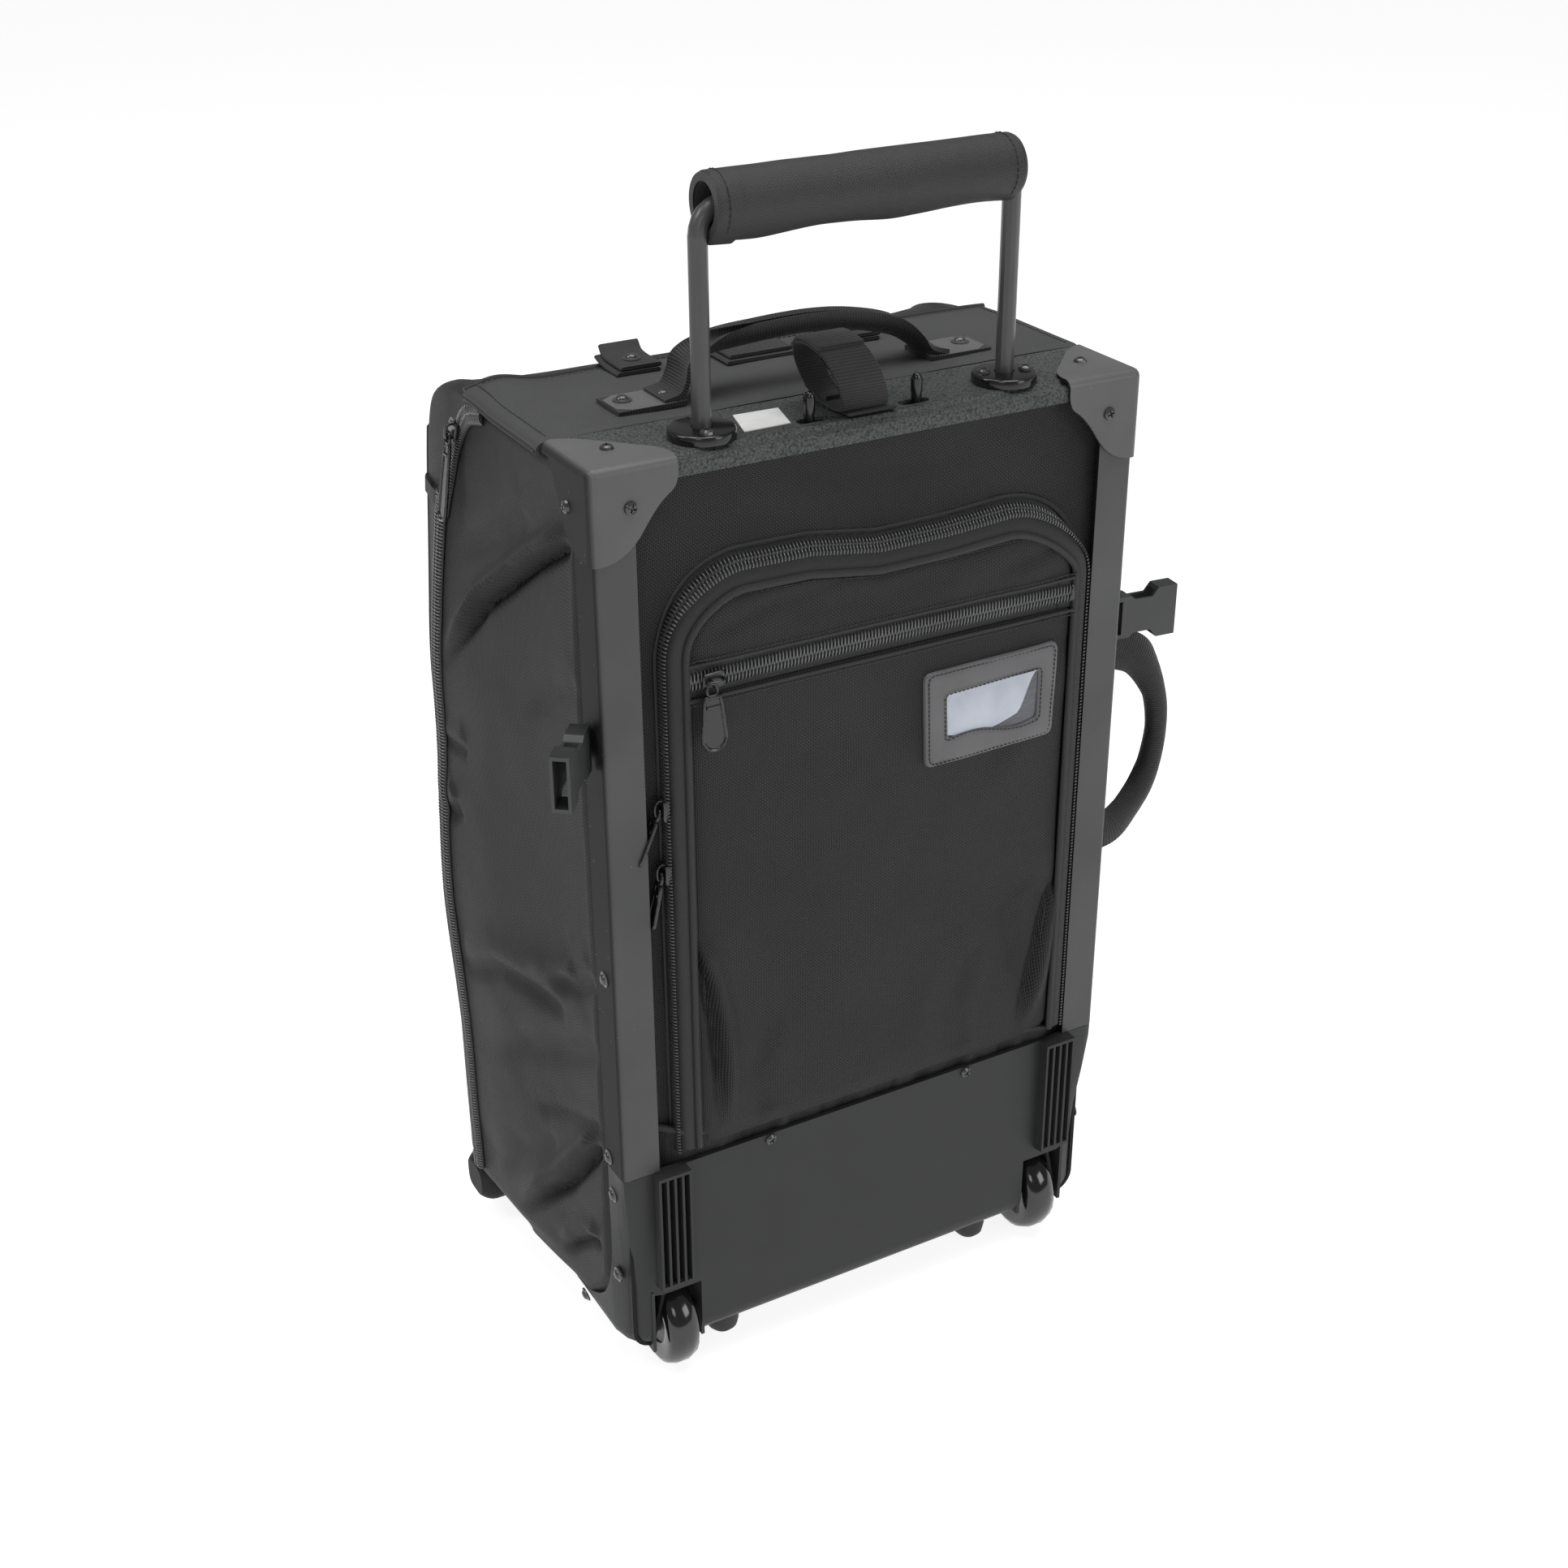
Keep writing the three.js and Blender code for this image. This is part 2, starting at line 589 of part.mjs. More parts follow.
// Columns are where the piece's across, along and outward directions point in the case.
function seated(piece, across, along, outward, place) {
  const matrix = new THREE.Matrix4().makeBasis(
    new THREE.Vector3(...across), new THREE.Vector3(...along), new THREE.Vector3(...outward));
  matrix.setPosition(...place);
  return piece.transform(matrix.elements);
}

// ---- Webbing handles and side buckles ----
function webbing(points, halfWidth, halfThickness, steps) {
  const section = outline([[-halfWidth, -halfThickness], [halfWidth, -halfThickness],
    [halfWidth, halfThickness], [-halfWidth, halfThickness]]);
  const path = new THREE.CatmullRomCurve3(points.map((point) => new THREE.Vector3(...point)));
  return solid(new THREE.ExtrudeGeometry(section, { steps, bevelEnabled: false, extrudePath: path }));
}

const carryHandle = { y: 80, foot: frameTop + 4.6, top: 584, halfWidth: 8 };

function makeCarryHandle() {
  const { y, foot, top, halfWidth } = carryHandle;
  const points = [[-70, y, foot], [-69, y, foot + 7], [-55, y, top - 8], [-25, y, top - 1], [0, y, top],
    [25, y, top - 1], [55, y, top - 8], [69, y, foot + 7], [70, y, foot]];
  return webbing(points, halfWidth, 2.4, 32);
}

const sideHandle = { y: 33, x: frameHalfWidth + 5.4, reach: 212, low: 262, high: 388 };

function makeSideHandle() {
  const { y, x, reach, low, high } = sideHandle;
  const middle = (low + high) / 2;
  const points = [[x, y, high], [x + 14, y, high - 6], [reach - 14, y, high - 34], [reach, y, middle],
    [reach - 16, y, low + 28], [x + 14, y, low + 4], [x, y, low]];
  return webbing(points, 8, 3.2, 28);
}

function makeHandlePlate() {
  const plate = [[73, 67], [102, 67], [109, 72], [109, 88], [102, 93], [73, 93]];
  return prismZ(plate, frameTop + 0.7, frameTop + 3);
}

function makeStrapLoop() {
  const loop = new THREE.Shape();
  loop.absellipse(27, 575, 20, 17.5, 0, 2 * Math.PI, false);
  const hollow = new THREE.Path();
  hollow.absellipse(27, 575, 16.5, 14, 0, 2 * Math.PI, true);
  loop.holes.push(hollow);
  return prismX(loop, -15, 12, 20);
}

// The buckle points along +X from its webbing bar, its width upright.
const buckle = { length: 42, halfHeight: 15, halfThickness: 5 };

function makeBuckle() {
  const { length, halfHeight, halfThickness } = buckle;
  const waist = 10;
  const upper = [[length, halfHeight], [30, halfHeight], [26, waist], [15, waist], [12, 12.5], [0, 12.5]];
  const profile = [...upper.map(([along, across]) => [along, -across]).reverse(), ...upper];
  const body = prismY(profile, -halfThickness, halfThickness);
  const [thick, high] = [halfThickness - 1.6, halfHeight - 2];
  const mouth = box([16, length + 5], [-thick, thick], [-high, high]);
  const webSlot = box([4, 7], [-10, 10], [-10, 10]);
  return cut(body, mouth, webSlot);
}

const buckles = [
  { name: 'left', place: [-162, 15, 412], aim: [-0.62, -0.785] },
  { name: 'right', place: [163, 20, 409], aim: [0.995, -0.1] },
];

// ---- Assembly ----
addPiece('tray', makeTray(), 'tray', 0.65);
addPiece('top_rail', makeTopRail(), 'rail', 0.7);

for (const [name, side] of sides) {
  addPiece(`side_rail_${name}`, mirrored(makeSideRail(), side), 'rail', 0.45, 0.3);
  addPiece(`corner_guard_${name}`, mirrored(makeGuard(), side), 'guard', 0.4, 0.3);
  for (const [face, { place, direction }] of Object.entries(guardFaces)) {
    const at = placed(makeScrew(1.6), direction, place, 20);
    addPiece(`guard_screw_${face}_${name}`, mirrored(at, side), 'dark', 0.35, 0.6);
  }
  const trayPlace = [side * trayScrew.x, 0, trayScrew.z];
  addPiece(`tray_screw_${name}`, placed(makeScrew(2.6), [0, -1, 0], trayPlace, 30), 'dark', 0.35, 0.6);
}

const flangeScrewAngles = { left: [-105, 75], right: [-15, 165] };
for (const [name, side] of sides) {
  const angles = flangeScrewAngles[name];
  addPiece(`guide_tube_${name}`, makeGuideTube().translate(side * rodSpacing, rodY, 0), 'dark', 0.4, 0.8);
  addPiece(`tube_bumper_${name}`, makeBumper().translate(side * rodSpacing, rodY, 0), 'rubber', 0.8);
  addPiece(`handle_flange_${name}`, makeFlange(angles).translate(side * rodSpacing, rodY, 0), 'dark', 0.25);
  for (const [index, degrees] of angles.entries()) {
    const [x, y, z] = flangeScrewPlace(degrees);
    const at = placed(makeScrew(4.5), [0, 0, 1], [x + side * rodSpacing, y + rodY, z], 25);
    addPiece(`flange_screw_${index + 1}_${name}`, at, 'dark', 0.35, 0.6);
  }
  addPiece(`release_lever_${name}`, mirrored(makeLever(), side), 'dark', 0.3);
}
addPiece('pull_handle', makeHandleRod(), 'rod', 0.3, 0.8);
addPiece('grip_sleeve', makeGrip(), 'fabric', 0.9);

for (const [name, side] of sides) {
  const centre = [side * (housing.x[0] + housing.x[1]) / 2, wheelY, wheelRadius];
  const wheelCentre = [side * wheelX, wheelY, wheelRadius];
  addPiece(`wheel_tyre_${name}`, placed(makeTyre(), [1, 0, 0], wheelCentre), 'tyre', 0.2);
  addPiece(`wheel_hub_${name}`, placed(makeHub(), [1, 0, 0], wheelCentre), 'dark', 0.5);
  addPiece(`wheel_axle_${name}`, placed(makeAxle(), [1, 0, 0], centre), 'rail', 0.3, 0.9);
  addPiece(`front_foot_${name}`, makeFrontFoot().translate(side * 110, 172, 0), 'rubber', 0.8);
}

const bag = makeBag();
addPiece('bag_body', bag.body, 'fabric', 0.9);
addPiece('lid', bag.lid, 'fabric', 0.9);
addPiece('back_board', box([-138, 138], [31, 33], [74, 540]), 'dark', 0.7);
const frontPocket = roundedRectangle(118, 158, 20, 0, 236);
addPiece('front_pocket', prismY(frontPocket, lidFront + gap, lidFront + 12), 'fabric', 0.9);
addPiece('rear_pocket', makeRearPocket(), 'fabric', 0.9);
addPiece('pocket_zipper', makePocketZipper(), 'webbing', 0.6);
const flatZipperDepth = [pocket.front - 1.8, pocket.front - gap];
addPiece('flat_zipper', box([-114, 122], flatZipperDepth, [438, 447]), 'webbing', 0.6);
addPiece('id_holder', makeHolder(), 'dark', 0.6);
const windowShape = roundedRectangle(
  holder.windowHalfWidth - gap, holder.windowHalfHeight - gap, 2.7, holder.x, holder.z);
addPiece('id_window', prismY(windowShape, pocket.front - 1.4, pocket.front - gap), 'clear', 0.1);

const zipX = pocket.x - pocket.halfWidth - gap - 3.75;
const rearwards = { across: [1, 0, 0], along: [0, 0, 1], out: [0, -1, 0], pull: 32 };
const zips = [
  { ...rearwards, name: 'pocket_upper', at: [zipX, -1.6, 373] },
  { ...rearwards, name: 'pocket_lower', at: [zipX, -1.6, 336] },
  { name: 'flat', across: [0, 0, -1], along: [1, 0, 0], out: [0, -1, 0], at: [-97.4, -3.7, 442.5], pull: 30 },
  { name: 'lid', across: [0, 1, 0], along: [0, 0, 1], out: [-1, 0, 0], at: [-159.4, 160, 528], pull: 46 },
];
for (const { name, across, along, out, at, pull } of zips) {
  addPiece(`${name}_slider`, seated(makeSlider(), across, along, out, at), 'dark', 0.3, 0.5);
  const hanging = name === 'flat' ? [[1, 0, 0], [0, 0, 1]] : [across, along];
  addPiece(`${name}_pull`, seated(makePull(pull), ...hanging, out, at), 'dark', 0.3, 0.5);
}

addPiece('carry_handle', makeCarryHandle(), 'webbing', 0.9);
for (const [name, side] of sides) {
  addPiece(`handle_plate_${name}`, mirrored(makeHandlePlate(), side), 'dark', 0.4, 0.4);
}
addPiece('strap_loop', makeStrapLoop(), 'webbing', 0.9);
addPiece('side_handle', makeSideHandle(), 'webbing', 0.9);
for (const { name, place, aim } of buckles) {
  const turn = THREE.MathUtils.radToDeg(Math.atan2(aim[1], aim[0]));
  addPiece(`side_buckle_${name}`, makeBuckle().rotate([0, 0, turn]).translate(place), 'dark', 0.45);
}

export default caseGroup;
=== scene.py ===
"""Looks of the pilot rolling flight case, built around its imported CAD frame.

Shapes are written in case millimetres: x from the frame's centre plane, y from the rear face of
the side rails towards the lid, z from the floor. case() turns them into the frame's metres.
"""
import math

import bpy
import numpy as np
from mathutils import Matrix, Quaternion, Vector


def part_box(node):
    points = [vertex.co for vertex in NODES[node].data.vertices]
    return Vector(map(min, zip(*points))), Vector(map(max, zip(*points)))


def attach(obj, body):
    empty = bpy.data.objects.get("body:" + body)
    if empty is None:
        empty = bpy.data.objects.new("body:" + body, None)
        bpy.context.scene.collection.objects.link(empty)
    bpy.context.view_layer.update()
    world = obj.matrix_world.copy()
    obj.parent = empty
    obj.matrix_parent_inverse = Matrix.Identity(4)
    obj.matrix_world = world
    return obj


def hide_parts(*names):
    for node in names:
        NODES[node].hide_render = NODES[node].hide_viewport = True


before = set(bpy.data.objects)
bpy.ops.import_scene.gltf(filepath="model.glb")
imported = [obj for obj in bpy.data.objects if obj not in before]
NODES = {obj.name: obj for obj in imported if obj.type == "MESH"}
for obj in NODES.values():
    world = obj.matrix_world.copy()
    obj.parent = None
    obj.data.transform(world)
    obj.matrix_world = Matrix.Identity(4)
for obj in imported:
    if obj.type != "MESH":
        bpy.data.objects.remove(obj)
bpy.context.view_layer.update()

scene = bpy.context.scene

left_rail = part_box("side_rail_left")
FRAME_HALF_WIDTH = 157.0      # outer faces of the side rails
ORIGIN = np.array([left_rail[0].x + FRAME_HALF_WIDTH / 1000, left_rail[0].y, 0.0])
SIDES = (("left", -1), ("right", 1))

PANEL_Y = 6.3                 # rear fabric panel, behind the rails' faces
ROD_Y, GRIP_Z = 22.0, 667.0   # centre of the pull handle's cross bar
COVER = 2.2                   # thickness of the padded side panels and lid
LINED = 1.6                   # thickness of the thinner panels


def case(points):
    """Case millimetres to metres in the frame."""
    return np.asarray(points, float) / 1000 + ORIGIN


def step(value, low, high):
    """0 below low, 1 above high, smooth between."""
    t = np.clip((np.asarray(value, float) - low) / (high - low), 0, 1)
    return t * t * (3 - 2 * t)


def unit(vectors):
    length = np.linalg.norm(vectors, axis=-1, keepdims=True)
    return vectors / np.maximum(length, 1e-9)


def xyz(x, y, z):
    """Points from three arrays or numbers of compatible shapes."""
    return np.stack(np.broadcast_arrays(*(np.asarray(part, float) for part in (x, y, z))), -1)


def soft_noise(u, v, size, seed):
    """Smooth value noise in -1..1 with features of the given size."""
    table = np.random.default_rng(seed).uniform(-1, 1, (64, 64))
    a, b = np.asarray(u, float) / size + 100, np.asarray(v, float) / size + 100
    i, j = np.floor(a).astype(int), np.floor(b).astype(int)
    fa, fb = step(a - i, 0, 1), step(b - j, 0, 1)
    pick = lambda di, dj: table[(i + di) % 64, (j + dj) % 64]
    low = pick(0, 0) * (1 - fa) + pick(1, 0) * fa
    high = pick(0, 1) * (1 - fa) + pick(1, 1) * fa
    return low * (1 - fb) + high * fb


# ---------------------------------------------------------------- materials
class Finish:
    """A Principled material, with helpers that add nodes to it."""

    def __init__(self, name, colour, roughness, metallic=0.0, specular=0.5, **more):
        self.material = bpy.data.materials.new(name)
        self.material.use_nodes = True
        self.tree = self.material.node_tree
        self.shader = self.tree.nodes["Principled BSDF"]
        self.set(self.shader, {
            "Base Color": (*colour, 1), "Roughness": roughness, "Metallic": metallic,
            "Specular IOR Level": specular, **more})

    def set(self, node, values):
        for key, value in values.items():
            socket = node.inputs[key]
            if isinstance(value, bpy.types.NodeSocket):
                self.tree.links.new(value, socket)
            else:
                socket.default_value = value

    def add(self, kind, values=(), **settings):
        node = self.tree.nodes.new(kind)
        for key, value in settings.items():
            setattr(node, key, value)
        self.set(node, dict(values))
        return node

    def math(self, operation, first, second=0.0, clamp=False):
        node = self.add("ShaderNodeMath", {0: first, 1: second}, operation=operation, use_clamp=clamp)
        return node.outputs[0]

    def times(self, first, second, clamp=False):
        return self.math("MULTIPLY", first, second, clamp)

    def plus(self, first, second):
        return self.math("ADD", first, second)

    def blend(self, amount, first, second):
        colours = {6: (*first, 1) if isinstance(first, tuple) else first,
                   7: (*second, 1) if isinstance(second, tuple) else second, 0: amount}
        return self.add("ShaderNodeMix", colours, data_type="RGBA").outputs[2]

    def spread(self, value, from_low, from_high, to_low=0.0, to_high=1.0):
        return self.add("ShaderNodeMapRange", {
            "Value": value, "From Min": from_low, "From Max": from_high,
            "To Min": to_low, "To Max": to_high}).outputs[0]

    def place(self):
        """Position in the piece's own metres; every piece sits at the frame's origin."""
        return self.add("ShaderNodeTexCoord").outputs["Object"]

    def noise(self, scale, detail=2.0, where=None, roughness=0.5):
        return self.add("ShaderNodeTexNoise", {
            "Vector": where or self.place(), "Scale": scale, "Detail": detail,
            "Roughness": roughness}).outputs["Fac"]

    def bump(self, height, strength, distance, under=None):
        values = {"Height": height, "Strength": strength, "Distance": distance}
        if under is not None:
            values["Normal"] = under
        return self.add("ShaderNodeBump", values).outputs["Normal"]

    def use(self, **values):
        names = {"colour": "Base Color", "roughness": "Roughness", "normal": "Normal"}
        self.set(self.shader, {names[key]: value for key, value in values.items()})
        return self.material


def metal_finish(name, dark, light, roughness, grain, grain_depth, metallic=0.0, specular=0.5):
    """Painted or plated metal: fine grain, cloudy handling marks and faint scratches."""
    finish = Finish(name, dark, roughness[0], metallic, specular)
    clouds = finish.noise(18.0, 4.0)
    fine = finish.noise(grain, 2.0)
    stretched = finish.add("ShaderNodeMapping", {"Vector": finish.place(), "Scale": (260, 260, 22)})
    scratches = finish.spread(finish.noise(1.0, 3.0, stretched.outputs[0]), 0.66, 0.74)
    tone = finish.plus(finish.times(clouds, 0.75), finish.times(scratches, 0.25))
    colour = finish.blend(tone, dark, light)
    rough = finish.spread(clouds, 0.3, 0.7, *roughness)
    return finish.use(colour=colour, roughness=rough, normal=finish.bump(fine, 0.35, grain_depth))


def painted_finish(name, rear, painted_shade_side, roughness):
    """Satin powder coat with a few worn specks. The outer sides are duller, and their darker colour is
    painted shade; the other faces carry the lighter, lit copy of the paint.
    """
    finish = Finish(name, rear, roughness, specular=0.16)
    # Mask of the faces turned along x, which take the painted-shade colour below
    normal = finish.add("ShaderNodeNewGeometry").outputs["True Normal"]
    outer = finish.math("ABSOLUTE", finish.add("ShaderNodeSeparateXYZ", {0: normal}).outputs[0])
    outer = finish.spread(outer, 0.5, 0.95)
    clouds = finish.spread(finish.noise(14.0, 4.0), 0.3, 0.7)
    darker = lambda colour: tuple(0.78 * channel for channel in colour)
    face = finish.blend(clouds, darker(rear), rear)
    # The outer sides' colour: a darker copy of the paint, painted shade
    side = finish.blend(clouds, darker(painted_shade_side), painted_shade_side)
    fine = finish.noise(1800.0, 2.0)
    specks = finish.spread(finish.noise(420.0, 1.0), 0.74, 0.8)
    bare = (0.2, 0.2, 0.2)
    # Lit faces and painted-shade outer sides, with worn specks of bare metal
    colour = finish.blend(finish.times(specks, 0.35), finish.blend(outer, face, side), bare)
    return finish.use(colour=colour, roughness=finish.spread(outer, 0, 1, roughness, 0.6),
                      normal=finish.bump(fine, 0.35, 0.00005))


def crinkle_finish(name, dark, light):
    """Wrinkle paint: rounded pebbles about a millimetre across, their tops painted lighter and the hollows
    between them darker, as painted highlight and painted shade.
    """
    finish = Finish(name, dark, 0.5, specular=0.35)
    cells = finish.add("ShaderNodeTexVoronoi", {
        "Vector": finish.place(), "Scale": 900.0}, feature="SMOOTH_F1").outputs["Distance"]
    fine = finish.noise(1500.0, 2.0)
    height = finish.math("SUBTRACT", finish.times(fine, 0.5), cells)
    # Pebble tops light, hollows between them dark: painted shade in the hollows
    colour = finish.blend(finish.spread(cells, 0.1, 0.7), light, dark)
    rough = finish.spread(finish.noise(40.0, 3.0), 0.3, 0.7, 0.45, 0.62)
    return finish.use(colour=colour, roughness=rough, normal=finish.bump(height, 0.8, 0.0006))


def weave_finish(name, pitch, low, high, roughness, depth, sheen=0.0, specular=0.5):
    """Basket weave in the piece's own cloth coordinates (millimetres): paired threads that
    alternate over and under, with slow changes of tone. The colour also holds painted light:
    painted highlight on the thread tops, painted shade between the threads, and painted sheen
    that dims the cells of one direction."""
    finish = Finish(name, low, roughness, specular=specular)
    finish.set(finish.shader, {"Sheen Weight": sheen, "Sheen Roughness": 0.4})
    cloth = finish.add("ShaderNodeUVMap", uv_map="cloth").outputs[0]
    parts = finish.add("ShaderNodeSeparateXYZ", {0: cloth})
    across = finish.math("DIVIDE", parts.outputs[0], pitch)
    along = finish.math("DIVIDE", parts.outputs[1], pitch)
    cells = finish.plus(finish.math("FLOOR", across), finish.math("FLOOR", along))
    over = finish.math("FLOORED_MODULO", cells, 2.0)

    def hump(value, turns):
        inside = finish.math("FRACT", value)
        return finish.math("ABSOLUTE", finish.math("SINE", finish.times(inside, turns * math.pi)))

    def strands(side, length):
        pair = finish.plus(finish.times(hump(side, 2), 0.3),
                           finish.times(hump(side, 1), 0.7))
        return finish.times(pair, finish.math("POWER", hump(length, 1), 0.45))

    warp, weft = strands(across, along), strands(along, across)
    height = finish.plus(finish.times(warp, over),
                         finish.times(weft, finish.math("SUBTRACT", 1.0, over)))
    clouds = finish.noise(14.0, 5.0)
    # Painted light: thread tops lighter as painted highlight, gaps darker as painted shade, one direction's
    # cells at half as painted sheen
    lit = finish.times(finish.math("POWER", height, 1.6), finish.spread(over, 0, 1, 1.0, 0.5))
    lit = finish.times(lit, finish.spread(clouds, 0.25, 0.75, 0.78, 1.16), clamp=True)
    colour = finish.blend(lit, low, high)
    rough = finish.spread(height, 0, 1, roughness + 0.15, roughness)
    return finish.use(colour=colour, roughness=rough, normal=finish.bump(height, 0.55, depth))


def ribbed_finish(name, low, high, rib, depth, twill=0.0):
    """Webbing or zip tape: ribs across the band, crossed by finer threads along it; the rib tops are painted
    lighter and the grooves darker, as painted highlight and painted shade.
    """
    finish = Finish(name, low, 0.62, specular=0.4)
    finish.set(finish.shader, {"Sheen Weight": 0.12, "Sheen Roughness": 0.5})
    cloth = finish.add("ShaderNodeUVMap", uv_map="cloth").outputs[0]
    parts = finish.add("ShaderNodeSeparateXYZ", {0: cloth})
    slant = finish.plus(parts.outputs[1], finish.times(parts.outputs[0], twill))
    turn = lambda value, size: finish.math("SINE", finish.times(value, 2 * math.pi / size))
    ribs = finish.plus(finish.times(turn(slant, rib), 0.5), 0.5)
    threads = finish.plus(finish.times(turn(parts.outputs[0], rib * 0.55), 0.25), 0.75)
    height = finish.times(ribs, threads)
    fuzz = finish.noise(700.0, 3.0)
    # Colour follows the ribs' height: painted highlight on the tops, painted shade in the grooves, with
    # random fuzz in the tone
    tone = finish.times(height, finish.spread(fuzz, 0.3, 0.7, 0.7, 1.15), clamp=True)
    colour = finish.blend(tone, low, high)
    return finish.use(colour=colour, roughness=finish.spread(fuzz, 0.3, 0.7, 0.55, 0.72),
                      normal=finish.bump(height, 0.6, depth))


def moulded_finish(name, low, high, roughness, grain, depth, specular=0.5, coat=0.0):
    """Moulded plastic or rubber: fine spark texture, slightly cloudy gloss."""
    finish = Finish(name, low, roughness, specular=specular)
    finish.set(finish.shader, {"Coat Weight": coat, "Coat Roughness": 0.12})
    clouds = finish.noise(25.0, 4.0)
    fine = finish.noise(grain, 3.0, roughness=0.65)
    colour = finish.blend(finish.spread(clouds, 0.3, 0.7), low, high)
    rough = finish.spread(clouds, 0.3, 0.7, roughness * 0.88, min(1.0, roughness * 1.15))
    return finish.use(colour=colour, roughness=rough, normal=finish.bump(fine, 0.4, depth))


def vinyl_finish(name, low, high):
    """Calendered vinyl with a leather grain."""
    finish = Finish(name, low, 0.42, specular=0.5)
    cells = finish.add("ShaderNodeTexVoronoi", {
        "Vector": finish.place(), "Scale": 1100.0}, feature="DISTANCE_TO_EDGE").outputs["Distance"]
    clouds = finish.noise(30.0, 3.0)
    colour = finish.blend(finish.spread(clouds, 0.3, 0.7), low, high)
    return finish.use(colour=colour, roughness=finish.spread(clouds, 0.3, 0.7, 0.34, 0.5),
                      normal=finish.bump(finish.spread(cells, 0, 0.2), 0.25, 0.00015))


def window_finish(name):
    """Scuffed clear vinyl; the pale card set behind it in the holder is painted reflection."""
    finish = Finish(name, (0.06, 0.065, 0.075), 0.16, specular=0.6)
    clouds = finish.noise(22.0, 3.0)
    stretched = finish.add("ShaderNodeMapping", {"Vector": finish.place(), "Scale": (90, 90, 420)})
    marks = finish.noise(1.0, 4.0, stretched.outputs[0])
    tone = finish.plus(finish.times(clouds, 0.6), finish.times(marks, 0.4))
    colour = finish.blend(finish.spread(tone, 0.35, 0.65), (0.035, 0.038, 0.045), (0.09, 0.097, 0.11))
    return finish.use(colour=colour, roughness=finish.spread(marks, 0.3, 0.7, 0.1, 0.3),
                      normal=finish.bump(clouds, 0.3, 0.002))


def paper_finish(name, clean=(0.76, 0.76, 0.75), stained=(0.6, 0.6, 0.6)):
    finish = Finish(name, clean, 0.5, specular=0.4)
    fibres = finish.noise(500.0, 3.0)
    stains = finish.noise(60.0, 3.0)
    colour = finish.blend(finish.spread(stains, 0.35, 0.75), clean, stained)
    return finish.use(colour=colour, roughness=finish.spread(stains, 0.3, 0.7, 0.4, 0.6),
                      normal=finish.bump(fibres, 0.2, 0.0001))


def grey(level, blue=0.0):
    """A grey in linear light, its blue raised a little for a cool tint."""
    return level, level, level + blue


